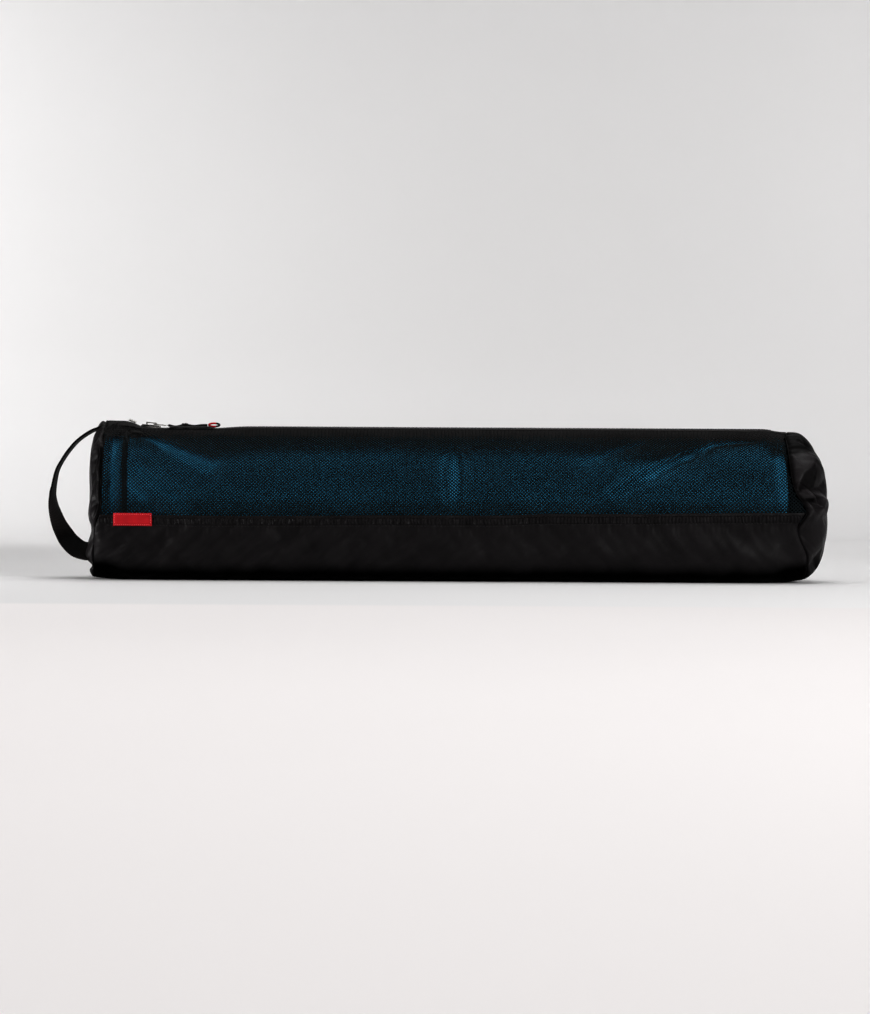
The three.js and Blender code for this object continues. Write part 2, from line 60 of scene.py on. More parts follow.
# ---------------------------------------------------------------- named sizes (mm)
AXIS_Z = 71.5
ROLL_OUTER, ROLL_SHEET, ROLL_PITCH, ROLL_LENGTH = 69.0, 6.0, 6.4, 1800.0
ROLL_X0, ROLL_X1, ROLL_EDGE, ROLL_ROUND = -326.0, 334.0, 80.0, 0.65
NET_WALL, NYLON_OUT, NYLON_WALL, TAPE_WALL = 1.0, 1.5, 1.2, 1.0
NET_FOOT, NET_HEAD, TAPE_EDGE = -15.5, 84.0, 72.0
SEAM_GAP = 0.2
LEFT_X, LEFT_DEPTH, RIGHT_X, RIGHT_DEPTH = -320.0, 20.0, 337.0, 43.5
STRAP_WIDTH, STRAP_WALL = 25.0, 2.0
COIL_X0, COIL_X1 = -292.0, 328.0
CORD_D = 2.4
NET_PITCH, NET_HALF, NET_TALL = 2.42, 0.54, 0.46   # thread spacing, half width, half height
SKIN = 74.0                                        # radius that turns angles into lengths

# ---------------------------------------------------------------- tables
SECTION = np.array([  # deg up from the front, distance from the roll's axis
    (-90, 88.0), (-65, 83.0), (-45, 80.2), (-25, 76.6), (-8, 75.0),
    (15, 73.9), (35, 73.6), (55, 74.4), (75, 76.6), (90, 78.2)])
ENDS = np.array([  # deg, left seam x, right seam x, how square the left and right ends are
    (-90, -329, 352, 6.0, 2.6), (-60, -330, 354, 4.6, 2.5), (-37, -329, 353, 2.4, 2.4),
    (-15, -326, 342, 2.1, 2.4), (-2, -320, 351, 2.0, 2.4), (12, -320, 341, 2.0, 2.4),
    (25, -320.5, 337.5, 2.1, 2.4), (50, -322, 337, 2.7, 2.45), (70, -324, 338.5, 3.4, 2.55),
    (90, -326, 345, 4.0, 2.55)])
LEFT, RIGHT, LEFT_SQUARE, RIGHT_SQUARE = 1, 2, 3, 4
FOLDS = [  # x0, deg0, x1, deg1, half width, height
    (-324, 90, -309, 90, 15, 6.6), (-282, 90, -220, 90, 20, -1.9),
    (-288, 61, -218, 31, 10, -1.9), (-288, 28, -264, 9, 8, -1.6),
    (16, 44, 16, 6, 11, -1.9), (172, 13, 240, 44, 10, -1.9), (240, 44, 300, 68, 10, -1.9),
    (-120, 48, -60, 50, 22, 1.2), (90, 46, 130, 50, 22, 1.2),
    (-290, -40, 312, -40, 20, 10.5),
    (-250, -32, -160, -24, 9, 1.3), (-60, -26, 40, -31, 9, 1.2),
    (120, -33, 215, -25, 9, 1.3), (250, -24, 320, -36, 8, 1.4)]
# where the net lies on the roll and its mesh is drawn fine: as FOLDS, height is the extra dent
NET_CONTACT = [
    (-295, 71, -256, 51, 6, -2.4), (-256, 51, -214, 34, 7, -2.0),
    (-312, 60, -312, -6, 6, -2.6), (-286, 30, -236, -3, 3.2, -1.6), (-294, 18, -267, -5, 4.4, -1.6),
    (16, 42, 16, 8, 8, -2.4), (172, 13, 205, 26, 5, -1.8), (205, 26, 240, 46, 5, -2.2),
    (240, 46, 268, 60, 5, -2.2), (268, 60, 304, 63, 4.5, -2.0), (327, 50, 333, -6, 6, -2.2),
    (140, 36, 198, 59, 5, -1.6)]
DRAWN = (1.0, 1.0, 0.9, 0.7, 0.8, 0.35, 0.25, 0.45, 0.62, 0.72, 0.5, 0.6)   # how fine the mesh is drawn on each
# upper bound of the open net: x, deg, softness in deg; above it the slack net is seen closed up
NET_OPEN = np.array([
    (-330, 70, 4), (-296, 74, 3), (-274, 66, 3), (-256, 55.5, 3), (-236, 46.5, 4), (-216, 40, 7), (-196, 45, 10),
    (-150, 49, 10), (-60, 50, 10), (60, 49, 10), (140, 47, 10), (185, 43, 10), (222, 43, 7), (248, 52, 4),
    (267, 60, 3), (286, 65.5, 3), (312, 65.5, 3), (345, 52, 6)])
# bands on the right that stay open above that bound: as FOLDS, height is the share
NET_BANDS = [(140, 36, 198, 59, 4.5, 0.6), (250, 53, 270, 61, 4.5, 0.3), (270, 61, 312, 65, 4.0, 0.36)]
# slack net standing off the roll
NET_SLACK = [
    (-225, 62, -110, 58, 9, 1.2), (-60, 58, 60, 60, 9, 1.0), (80, 57, 170, 52, 8, 1.2),
    (-200, 10, -60, 4, 12, 0.7), (70, 10, 150, 2, 12, 0.7), (-262, 2, -240, -6, 7, 1.6)]
# right end: angle, way from the seam to the middle, height of the crumpled cloth
CRUMPLE_RIGHT = [
    (47, 0.03, -1.4), (60, 0.10, 0.9), (64, 0.28, -1.0), (76, 0.16, 0.5), (52, 0.36, 0.9),
    (42, 0.33, 2.0), (28, 0.14, 1.7), (19, 0.04, 0.6),
    (13.5, 0.05, -1.4), (16, 0.30, -3.6), (21, 0.46, -2.6),
    (8.5, 0.01, 0.3), (8.8, 0.19, 2.7), (8, 0.36, 3.1), (10, 0.52, 1.4),
    (4.6, 0.17, -2.2), (4.2, 0.31, -2.4),
    (-0.5, 0.12, 1.7), (1.5, 0.34, 1.5), (-10, 0.44, 1.2),
    (-16, 0.05, -0.8), (-19, 0.20, 0.2), (-20, 0.38, 1.0),
    (-27, 0.05, -1.3), (-36, 0.12, -0.2), (-46, 0.22, -1.8), (-33, 0.33, 1.1),
    (-54, 0.10, 1.3), (-62, 0.26, 0.5), (-70, 0.08, -0.6)]
# right end: painted highlights (tone above 1) and painted shade (tone below 1) of its larger folds, each a tone and an
# outline (angle, way from the seam to the middle)
FOLD_PAINTED_LIGHT = [
    (0.60, [(44, 0.0), (60, 0.3), (85, 0.45), (88, -0.05), (66, -0.2)]),
    (1.48, [(38.4, 0.0), (42.2, 0.03), (54, 0.30), (39.4, 0.282), (18.8, 0.014)]),
    (0.44, [(36.6, 0.282), (33.8, 0.365), (20.6, 0.389), (13.1, 0.022), (27.2, 0.117)]),
    (1.50, [(11.5, 0.0), (14.1, 0.077), (18.8, 0.389), (14, 0.50), (10.3, 0.353), (7.5, 0.067)]),
    (0.28, [(7.5, 0.014), (8.4, 0.214), (5.6, 0.181), (4.7, 0.03)]),
    (1.55, [(1.9, 0.03), (7.5, 0.282), (10.3, 0.389), (0.9, 0.317)]),
    (0.92, [(-1.9, 0.0), (-1.9, 0.259), (-24.4, 0.271), (-15, 0.086)]),
    (1.30, [(-17.8, 0.0), (-20.6, 0.057), (-44.1, 0.271), (-43.1, 0.127)])]
# left end: the same columns
CRUMPLE_LEFT = [
    (-10, 0.10, 1.1), (10, 0.09, 0.8), (28, 0.11, 1.1), (44, 0.09, -0.7), (58, 0.14, 0.9),
    (2, 0.19, -1.2), (20, 0.21, -0.9), (38, 0.22, -1.0), (-24, 0.15, -0.9), (-36, 0.09, 0.9),
    (-44, 0.22, 0.8), (-6, 0.33, 0.9), (16, 0.38, -0.5), (50, 0.34, 0.8), (70, 0.25, -0.8),
    (80, 0.45, 0.6), (-62, 0.2, -0.6), (-70, 0.42, 0.7), (-30, 0.46, -0.8)]
PLEATS = [(64, 9, -1.6), (40, 11, 1.6), (20, 6, -2.4), (6, 5, 2.2), (-10, 6, -2.2), (-27, 8, 1.5), (-46, 7, -1.5)]
BULGES = [(-47, 26, 10, 1.8), (0, 112, 22, 0.8), (-18, 66, 20, -1.2)]
STRAP = np.array([  # x, y, z, twist
    (-329.5, 0, 148.6, 0), (-340.8, 0, 144.4, -1), (-354.3, -1, 135.0, -2.5), (-362.8, -2, 125.2, -3),
    (-369.2, -3, 115.3, -3.5), (-373.7, -5, 105.5, -3.5), (-376.4, -11, 86.0, -1), (-375.6, -15, 76.0, 5.5),
    (-373.2, -19, 66.2, 14.5), (-369.5, -23, 56.4, 21.5), (-364.2, -27, 46.8, 30), (-357.8, -31, 37.8, 36),
    (-348.4, -37, 30.2, 40), (-338.5, -43, 27.4, 42), (-331.5, -46, 26.8, 42)])
CORD = np.array([  # x, y, height over the top line
    (-265.3, 0, 2.7), (-258, -3.7, 1.2), (-249, -3.0, 2.9), (-240, -3.6, 1.9), (-233, -3.0, 2.7), (-227.4, -0.8, 3.0)])
HEM = np.array([  # x, upper edge of the nylon in deg
    (-335, -6.6), (-290, -6.8), (-180, -7.2), (-60, -6.4), (60, -5.9), (100, -4.8), (206, -4.1), (300, -3.0), (360, -2.6)])
LABEL = dict(x0=-308.0, x1=-271.4, top=-5.4, foot=-14.4, wall=0.6)
PULL_LOOP = dict(x=-220.6, up=3.3, long=5.2, high=1.6, wire=0.95)
SEAM_TAPE = dict(x0=-299.8, x1=-294.7, lean=-0.07, top=69.0, foot=-13.0, out=-1.9, wall=0.8)


# ---------------------------------------------------------------- the skin of the bag
def through(rows, at, col):
    """Smooth curve through a table's rows."""
    k, v = rows[:, 0], rows[:, col]
    at = np.clip(np.asarray(at, float), k[0], k[-1])
    i = np.clip(np.searchsorted(k, at, side="left") - 1, 0, len(k) - 2)
    lo, hi = np.maximum(np.arange(len(k)) - 1, 0), np.minimum(np.arange(len(k)) + 1, len(k) - 1)
    slope = (v[hi] - v[lo]) / (k[hi] - k[lo])
    w = k[i + 1] - k[i]
    t = (at - k[i]) / w
    return (v[i] * (2 * t**3 - 3 * t**2 + 1) + v[i + 1] * (3 * t**2 - 2 * t**3)
            + w * (slope[i] * (t**3 - 2 * t**2 + t) + slope[i + 1] * (t**3 - t**2)))


def front(deg):
    """The back mirrors the front."""
    return np.where(np.asarray(deg) > 90, 180 - np.asarray(deg), deg)


def ridges(x, deg, rows, sharp=2.0, fade=None):
    """Sum of soft ridges along lines on the skin; they may fade to the tip or to both ends."""
    arc = math.radians(75)
    total = np.zeros(np.broadcast(x, deg).shape)
    for x0, d0, x1, d1, half, h in rows:
        px, py, dx, dy = x - x0, (deg - d0) * arc, x1 - x0, (d1 - d0) * arc
        t = np.clip((px * dx + py * dy) / (dx * dx + dy * dy), 0, 1)
        wide = half * (1 + 0.9 * t) if fade == "tip" else half
        part = 1.0 if fade is None else (1 - t) ** 1.3 if fade == "tip" else 1 - (2 * t - 1) ** 2
        d = np.hypot(px - t * dx, py - t * dy) / wide
        total = total + h * part * np.exp(-d**sharp)
    return total


def soft_min(a, b, k):
    h = np.maximum(k - np.abs(a - b), 0) / k
    return np.minimum(a, b) - h * h * k / 4


def soft_max(a, b, k):
    return -soft_min(-a, -b, k)


def layer(x, deg, out, extra=0.0):
    a = front(deg)
    r = through(SECTION, a, 1) + ridges(x, a, FOLDS) + extra + out
    low = (AXIS_Z - NYLON_OUT + out) / np.maximum(np.sin(np.radians(-a)), 1e-3)
    return np.where(a > -35, r, soft_min(r, low, 5.0))


def draw_in(x, deg):
    a = front(deg)
    x = np.asarray(x, float)
    left = x < LEFT_X
    t = np.where(left, (LEFT_X - x) / LEFT_DEPTH, np.maximum(0, (x - RIGHT_X) / RIGHT_DEPTH))
    n = np.where(left, through(ENDS, a, LEFT_SQUARE), through(ENDS, a, RIGHT_SQUARE))
    return (1 - np.minimum(1, t) ** n) ** (1 / n)


def ring(x, deg, r):
    c, s = np.cos(np.radians(deg)), np.sin(np.radians(deg))
    return np.stack(np.broadcast_arrays(np.asarray(x, float), -r * c, AXIS_Z + r * s), -1)


def on_tube(x, deg, out, extra=0.0):
    return ring(x, deg, layer(x, deg, out, extra) * draw_in(x, deg))


def seam(deg, side):
    return through(ENDS, front(deg), side)


def top_line(x):
    return AXIS_Z + layer(np.asarray(x, float), 90.0, 0.0)


def window(v, lo, hi, soft):
    """1 between lo and hi, falling to 0 over soft outside them."""
    a = np.clip((v - (lo - soft)) / soft, 0, 1)
    b = np.clip(((hi + soft) - v) / soft, 0, 1)
    return (a * a * (3 - 2 * a)) * (b * b * (3 - 2 * b))


def fall(x):
    """How far the top line drops towards the right end."""
    t = np.clip((np.asarray(x, float) - 318) / 22, 0, 1)
    return 2.3 * t * t * (3 - 2 * t)


def wander(x, step, seed, smooth=3):
    """A smooth random line along x, about -1 to 1, with that step between its knots."""
    r = np.random.RandomState(seed)
    knots = np.arange(-460, 460, step)
    vals = r.uniform(-1, 1, len(knots))
    i = np.clip(((x - knots[0]) / step).astype(int), 1, len(knots) - 3)
    t = (x - knots[0]) / step - i
    p0, p1, p2, p3 = vals[i - 1], vals[i], vals[i + 1], vals[i + 2]
    return 0.5 * (2 * p1 + (p2 - p0) * t + (2 * p0 - 5 * p1 + 4 * p2 - p3) * t**2 + (3 * p1 - p0 - 3 * p2 + p3) * t**3)


# ---------------------------------------------------------------- meshes
def add_mesh(name, points, faces, uv=None, mats=(), index=None, smooth=True):
    """A mesh object from points in mm and arrays of faces; uv in mm for each point."""
    points = np.asarray(points, float).reshape(-1, 3)
    blocks = [np.asarray(f, np.int32) for f in faces if len(f)]
    me = bpy.data.meshes.new(name)
    me.vertices.add(len(points))
    me.vertices.foreach_set("co", (points * MM).astype(np.float32).ravel())
    loops = np.concatenate([b.ravel() for b in blocks])
    sizes = np.concatenate([np.full(len(b), b.shape[1], np.int32) for b in blocks])
    starts = np.concatenate([[0], np.cumsum(sizes)[:-1]]).astype(np.int32)
    me.loops.add(len(loops))
    me.loops.foreach_set("vertex_index", loops)
    me.polygons.add(len(sizes))
    me.polygons.foreach_set("loop_start", starts)
    me.polygons.foreach_set("loop_total", sizes)
    me.polygons.foreach_set("use_smooth", np.full(len(sizes), smooth))
    for m in mats:
        me.materials.append(m)
    if index is not None:
        me.polygons.foreach_set("material_index", np.asarray(index, np.int32))
    if uv is not None:
        lay = me.uv_layers.new(name="UVMap")
        lay.data.foreach_set("uv", np.asarray(uv, np.float32)[loops].ravel())
    me.update(calc_edges=True)
    me.validate()
    ob = bpy.data.objects.new(name, me)
    bpy.context.scene.collection.objects.link(ob)
    return ob


class Build:
    """Gathers points and faces of one piece."""

    def __init__(self):
        self.p, self.uv, self.f, self.m, self.n = [], [], {3: [], 4: []}, {3: [], 4: []}, 0

    def add(self, points, faces, uv=None, mat=0):
        points = np.asarray(points, float).reshape(-1, 3)
        self.p.append(points)
        self.uv.append(np.zeros((len(points), 2)) if uv is None else np.asarray(uv, float).reshape(-1, 2))
        for f in faces:
            f = np.asarray(f, np.int64)
            if len(f):
                self.f[f.shape[1]].append(f + self.n)
                self.m[f.shape[1]].append(np.full(len(f), mat))
        self.n += len(points)

    def make(self, name, mats, smooth=True):
        blocks = [np.concatenate(self.f[k]) for k in (4, 3) if self.f[k]]
        index = np.concatenate([np.concatenate(self.m[k]) for k in (4, 3) if self.m[k]])
        return add_mesh(name, np.concatenate(self.p), blocks, np.concatenate(self.uv), mats, index, smooth)


def quads(rows, cols, wrap=False, start=0, flip=False):
    i, j = np.meshgrid(np.arange(rows - 1), np.arange(cols if wrap else cols - 1), indexing="ij")
    k = (j + 1) % cols
    f = np.stack([i * cols + j, i * cols + k, (i + 1) * cols + k, (i + 1) * cols + j], -1).reshape(-1, 4) + start
    return f[:, ::-1] if flip else f


def wall(outer, inner, wrap=False):
    """Points and faces of a closed wall from an outer and an inner grid (faces out if the grid is right-handed)."""
    rows, cols = outer.shape[:2]
    n = rows * cols
    pts = np.concatenate([outer.reshape(-1, 3), inner.reshape(-1, 3)])
    f = [quads(rows, cols, wrap), quads(rows, cols, wrap, n, True)]
    j = np.arange(cols if wrap else cols - 1)
    k = (j + 1) % cols
    last = (rows - 1) * cols
    f.append(np.stack([n + j, n + k, k, j], -1))
    f.append(np.stack([last + j, last + k, n + last + k, n + last + j], -1))
    if not wrap:
        i = np.arange(rows - 1) * cols
        f.append(np.stack([i, i + cols, n + i + cols, n + i], -1))
        i = i + cols - 1
        f.append(np.stack([n + i, n + i + cols, i + cols, i], -1))
    return pts, [np.concatenate(f)]


def outward(pts, faces):
    """Turn all faces over if together they look inwards."""
    vol = 0.0
    for f in faces:
        a, b, c = pts[f[:, 0]], pts[f[:, 1]], pts[f[:, 2]]
        vol += np.einsum("ij,ij->i", a, np.cross(b, c)).sum()
        if f.shape[1] == 4:
            d = pts[f[:, 3]]
            vol += np.einsum("ij,ij->i", a, np.cross(c, d)).sum()
    return faces if vol > 0 else [f[:, ::-1] for f in faces]


def unit(v):
    return v / np.maximum(np.linalg.norm(v, axis=-1, keepdims=True), 1e-12)


def tube(path, radius, sides=8, closed=False, flat=1.0, up=(0, 0, 1)):
    """Round tube along points: (points, faces, uv). flat squeezes it along its own up."""
    path = np.asarray(path, float)
    n = len(path)
    if closed:
        t = unit(np.roll(path, -1, 0) - np.roll(path, 1, 0))
    else:
        t = unit(np.gradient(path, axis=0))
    side = unit(np.cross(t, np.broadcast_to(up, t.shape)))
    top = np.cross(side, t)
    a = 2 * math.pi * np.arange(sides) / sides
    rad = np.broadcast_to(radius, (n,))[:, None, None]
    pts = path[:, None] + rad * (np.cos(a)[None, :, None] * side[:, None] + flat * np.sin(a)[None, :, None] * top[:, None])
    length = np.concatenate([[0], np.cumsum(np.linalg.norm(np.diff(path, axis=0), axis=1))])
    uv = np.stack(np.broadcast_arrays(length[:, None], (a * float(np.mean(radius)))[None, :]), -1)
    f4 = quads(n, sides, True)
    faces = [f4]
    pts = pts.reshape(-1, 3)
    uv = uv.reshape(-1, 2)
    if closed:
        j = np.arange(sides)
        k = (j + 1) % sides
        last = (n - 1) * sides
        faces = [np.concatenate([f4, np.stack([last + j, last + k, k, j], -1)])]
    else:
        hub = len(pts)
        pts = np.concatenate([pts, path[:1], path[-1:]])
        uv = np.concatenate([uv, uv[:1], uv[-1:]])
        j = np.arange(sides)
        k = (j + 1) % sides
        last = (n - 1) * sides
        faces.append(np.concatenate([np.stack([k, j, np.full(sides, hub)], -1),
                                     np.stack([last + j, last + k, np.full(sides, hub + 1)], -1)]))
    return pts, outward(pts, faces), uv


def stitches(build, a, b, normal, radius, mat=0, sides=5):
    """Short thread stitches from points a to b, arched along the normal."""
    t = b - a
    along = unit(t)
    side = unit(np.cross(along, normal))
    up = np.cross(side, along)
    ways = np.array([0.0, 0.16, 0.5, 0.84, 1.0])
    fat = np.array([0.45, 1.0, 1.05, 1.0, 0.45])
    lift = np.array([-0.7, 0.15, 0.45, 0.15, -0.7]) * radius
    ang = 2 * math.pi * np.arange(sides) / sides
    n = len(a)
    pts = (a[:, None, None] + ways[None, :, None, None] * t[:, None, None] + lift[None, :, None, None] * up[:, None, None]
           + radius * fat[None, :, None, None] * (np.cos(ang)[None, None, :, None] * side[:, None, None]
                                                  + np.sin(ang)[None, None, :, None] * up[:, None, None]))
    per = len(ways) * sides
    one = quads(len(ways), sides, True)
    j = np.arange(1, sides - 1)
    end0 = np.stack([np.zeros_like(j), j + 1, j], -1)
    end1 = np.stack([np.zeros_like(j), j, j + 1], -1) + (len(ways) - 1) * sides
    off = (np.arange(n) * per)[:, None, None]
    f4 = (one[None] + off).reshape(-1, 4)
    f3 = (np.concatenate([end0, end1])[None] + off).reshape(-1, 3)
    if n:
        first = pts[0].reshape(-1, 3)
        if not np.array_equal(outward(first - first.mean(0), [one])[0], one):
            f4, f3 = f4[:, ::-1], f3[:, ::-1]
    build.add(pts.reshape(-1, 3), [f4, f3], mat=mat)


def normal_of(fn, x, deg, out=0.0):
    """Outward normal of a layer of the tube at x, deg."""
    e = 0.4
    dx = fn(x + e, deg, out) - fn(x - e, deg, out)
    da = fn(x, deg + e, out) - fn(x, deg - e, out)
    n = unit(np.cross(dx, da))
    away = fn(x, deg, out) - np.array([0, 0, AXIS_Z])
    away[..., 0] = 0
    return n * np.sign(np.sum(n * away, -1, keepdims=True))


def catmull(points, u):
    """Centripetal curve through points, u from 0 to 1."""
    p = np.asarray(points, float)
    n = len(p)
    pad = np.concatenate([[2 * p[0] - p[1]], p, [2 * p[-1] - p[-2]]])
    at = np.asarray(u) * (n - 1)
    i = np.minimum(at.astype(int), n - 2)
    t = (at - i)[:, None]
    p0, p1, p2, p3 = pad[i], pad[i + 1], pad[i + 2], pad[i + 3]

    def gap(a, b):
        return np.maximum(np.sum((a - b) ** 2, -1, keepdims=True) ** 0.25, 1e-4)

    d0, d1, d2 = gap(p0, p1), gap(p1, p2), gap(p2, p3)
    t1 = ((p1 - p0) / d0 - (p2 - p0) / (d0 + d1) + (p2 - p1) / d1) * d1
    t2 = ((p2 - p1) / d1 - (p3 - p1) / (d1 + d2) + (p3 - p2) / d2) * d1
    return p1 + t1 * t + (-3 * p1 + 3 * p2 - 2 * t1 - t2) * t**2 + (2 * p1 - 2 * p2 + t1 + t2) * t**3


# ---------------------------------------------------------------- materials
class Shade:
    """A Principled material and short ways to add procedural detail to it."""

    def __init__(self, name, base, rough, specular=0.5, metallic=0.0, sheen=0.0, sheen_rough=0.5, sheen_tint=(1, 1, 1)):
        self.mat = bpy.data.materials.new(name)
        self.mat.use_nodes = True
        self.nt = self.mat.node_tree
        self.bsdf = self.nt.nodes["Principled BSDF"]
        s = self.bsdf.inputs
        s["Base Color"].default_value = (*base, 1)
        s["Roughness"].default_value = rough
        s["Specular IOR Level"].default_value = specular
        s["Metallic"].default_value = metallic
        s["Sheen Weight"].default_value = sheen
        s["Sheen Roughness"].default_value = sheen_rough
        s["Sheen Tint"].default_value = (*sheen_tint, 1)
        self.mat.diffuse_color = (*base, 1)

    def node(self, kind, **values):
        n = self.nt.nodes.new(kind)
        for k, v in values.items():
            if k in n.inputs:
                n.inputs[k].default_value = v
            else:
                setattr(n, k, v)
        return n

    def link(self, a, b):
        self.nt.links.new(a, b)

    def where(self, kind="UV", scale=1.0, turn=0.0):
        c = self.node("ShaderNodeTexCoord")
        m = self.node("ShaderNodeMapping")
        m.inputs["Scale"].default_value = (scale,) * 3 if np.isscalar(scale) else scale
        m.inputs["Rotation"].default_value = (0, 0, turn)
        self.link(c.outputs[kind], m.inputs["Vector"])
        return m.outputs["Vector"]

    def noise(self, vec, scale, detail=3.0, rough=0.5):
        n = self.node("ShaderNodeTexNoise", Scale=scale, Detail=detail, Roughness=rough)
        self.link(vec, n.inputs["Vector"])
        return n.outputs["Fac"]

    def scaled(self, vec, by):
        n = self.node("ShaderNodeVectorMath", operation="MULTIPLY")
        n.inputs[1].default_value = by
        self.link(vec, n.inputs[0])
        return n.outputs["Vector"]

    def wave(self, vec, period, axis="X", distort=0.0, phase=0.0):
        n = self.node("ShaderNodeTexWave", bands_direction=axis, Distortion=distort)
        n.inputs["Scale"].default_value = 0.314159 / period
        n.inputs["Phase Offset"].default_value = phase
        self.link(vec, n.inputs["Vector"])
        return n.outputs["Fac"]

    def math(self, op, a, b=None):
        n = self.node("ShaderNodeMath", operation=op)
        for i, v in enumerate((a, b)):
            if v is None:
                continue
            if isinstance(v, (int, float)):
                n.inputs[i].default_value = v
            else:
                self.link(v, n.inputs[i])
        return n.outputs[0]

    def ramp(self, fac, stops):
        n = self.node("ShaderNodeValToRGB")
        e = n.color_ramp.elements
        while len(e) < len(stops):
            e.new(0.5)
        for el, (at, col) in zip(e, stops):
            el.position = at
            el.color = (*col, 1) if not np.isscalar(col) else (col, col, col, 1)
        self.link(fac, n.inputs["Fac"])
        return n.outputs["Color"]

    def span(self, fac, lo, hi):
        n = self.node("ShaderNodeMapRange")
        n.inputs["To Min"].default_value = lo
        n.inputs["To Max"].default_value = hi
        self.link(fac, n.inputs["Value"])
        return n.outputs["Result"]

    def rise(self, value, lo, hi):
        """0 at lo, 1 at hi, smooth between them."""
        n = self.node("ShaderNodeMapRange", interpolation_type="SMOOTHSTEP")
        up = lo < hi
        n.inputs["From Min"].default_value, n.inputs["From Max"].default_value = (lo, hi) if up else (hi, lo)
        n.inputs["To Min"].default_value, n.inputs["To Max"].default_value = (0.0, 1.0) if up else (1.0, 0.0)
        self.link(value, n.inputs["Value"])
        return n.outputs["Result"]

    def bump(self, height, distance, strength=1.0, chain=None):
        n = self.node("ShaderNodeBump")
        n.inputs["Strength"].default_value = strength
        n.inputs["Distance"].default_value = distance
        self.link(height, n.inputs["Height"])
        if chain is not None:
            self.link(chain, n.inputs["Normal"])
        return n.outputs["Normal"]

    def set(self, socket, value):
        self.link(value, self.bsdf.inputs[socket])
        return self


def tones(base, dark, light):
    return [(0.25, tuple(c * dark for c in base)), (0.75, tuple(c * light for c in base))]


def nylon_material(name="nylon_cloth", base=(0.0094, 0.0081, 0.0087), specular=0.09, rough=0.42, hem=0.0, painted_light_shade=False):
    """hem: way over the cloth from hem to hem in mm, for cloth with a puckered hem along each edge.
    painted_light_shade: cloth whose painted light and shade from its folds are stored with the mesh."""
    m = Shade(name, base, rough, specular=specular, sheen=0.012, sheen_rough=0.4, sheen_tint=(0.9, 0.88, 0.92))
    uv = m.where("UV")
    warp, weft = m.wave(uv, 0.62, "X", 0.25), m.wave(uv, 0.62, "Y", 0.25)
    weave = m.math("MULTIPLY", warp, weft)
    slub = m.noise(m.where("UV", (0.02, 1.2, 1)), 1.0, 2.0)
    cloud = m.noise(m.where("Object", 1.0), 26.0, 4.0)
    tone = m.math("ADD", m.math("MULTIPLY", cloud, 0.6), m.math("MULTIPLY", weave, 0.4))
    colour = m.ramp(tone, tones(base, 0.72, 1.35))
    m.set("Roughness", m.span(cloud, rough - 0.07, rough + 0.09))
    height = m.math("ADD", weave, m.math("MULTIPLY", slub, 0.35))
    # slanted soft folds, most of them one way
    part = m.node("ShaderNodeSeparateXYZ")
    m.link(uv, part.inputs["Vector"])
    to_right = m.rise(part.outputs["X"], -120.0, 140.0)
    one_way = m.math("SUBTRACT", m.noise(m.scaled(m.where("UV", 1.0, 0.72), (0.026, 0.085, 1)), 1.0, 1.5), 0.5)
    other_way = m.math("SUBTRACT", m.noise(m.scaled(m.where("UV", 1.0, -0.85), (0.028, 0.066, 1)), 1.0, 1.0), 0.5)
    crinkle = m.math("ADD", m.math("MULTIPLY", one_way, m.span(to_right, 1.3, 0.35)), m.math("MULTIPLY", other_way, m.span(to_right, 0.55, 0.66)))
    normal = m.bump(crinkle, 0.0034, 1.0)
    depth = None
    if hem:
        down = m.math("MINIMUM", part.outputs["Y"], m.math("SUBTRACT", hem, part.outputs["Y"]))
        held = m.math("MULTIPLY", m.rise(down, 2.6, 4.0), m.rise(down, 11.2, 9.4))
        under = m.math("MULTIPLY", m.rise(down, 10.4, 11.4), m.rise(down, 22.0, 11.0))
        fine = m.wave(m.where("UV", 1.0, 0.06), 3.3, "X", 3.0)
        wide = m.wave(m.where("UV", 1.0, -0.22), 8.6, "X", 4.5)
        some = m.span(m.noise(m.where("UV", (0.06, 0.01, 1)), 1.0, 2.0), 0.1, 1.7)
        puck = m.math("ADD", m.math("MULTIPLY", fine, held), m.math("MULTIPLY", wide, m.math("ADD", m.math("MULTIPLY", held, 0.6), m.math("MULTIPLY", under, 0.4))))
        normal = m.bump(m.math("MULTIPLY", puck, some), 0.00055, 1.0, normal)
        # painted shade: the pinched cloth between the rows, the stitch rows and the cloth that turns under near the
        # surface are painted darker
        pinch = m.math("MULTIPLY", m.math("MULTIPLY", held, some), m.math("SUBTRACT", 1.12, fine))
        row = m.math("MULTIPLY", m.rise(down, 1.9, 2.8), m.rise(down, 3.8, 2.9))
        depth = m.math("SUBTRACT", m.math("SUBTRACT", 1.0, m.math("MULTIPLY", pinch, 0.40)), m.math("MULTIPLY", row, 0.5))
        turned = m.noise(m.where("UV", (0.03, 0.0, 1)), 1.0, 2.0)
        low = m.rise(m.math("ADD", down, m.math("MULTIPLY", turned, 7.0)), 49.5, 65.5)
        depth = m.math("MULTIPLY", m.math("MAXIMUM", depth, 0.2), m.math("SUBTRACT", 1.0, m.math("MULTIPLY", low, 0.96)))
        # painted light and shade along the slanted folds: the colour is made lighter and darker with the crinkle
        depth = m.math("MULTIPLY", depth, m.math("ADD", m.math("MULTIPLY", crinkle, 0.8), 1.0))
    if painted_light_shade:
        depth = m.node("ShaderNodeAttribute", attribute_name="painted_light_shade").outputs["Fac"]
    # depth is the painted light and shade; it scales the colour, the specular and the sheen
    if depth is not None:
        times = m.node("ShaderNodeVectorMath", operation="MULTIPLY")
        m.link(colour, times.inputs[0])
        m.link(depth, times.inputs[1])
        colour = times.outputs["Vector"]
        m.set("Specular IOR Level", m.math("MULTIPLY", depth, specular))
        m.set("Sheen Weight", m.math("MULTIPLY", depth, 0.012))
    m.set("Base Color", colour)
    m.set("Normal", m.bump(height, 0.00008, 0.55, normal))
    return m.mat


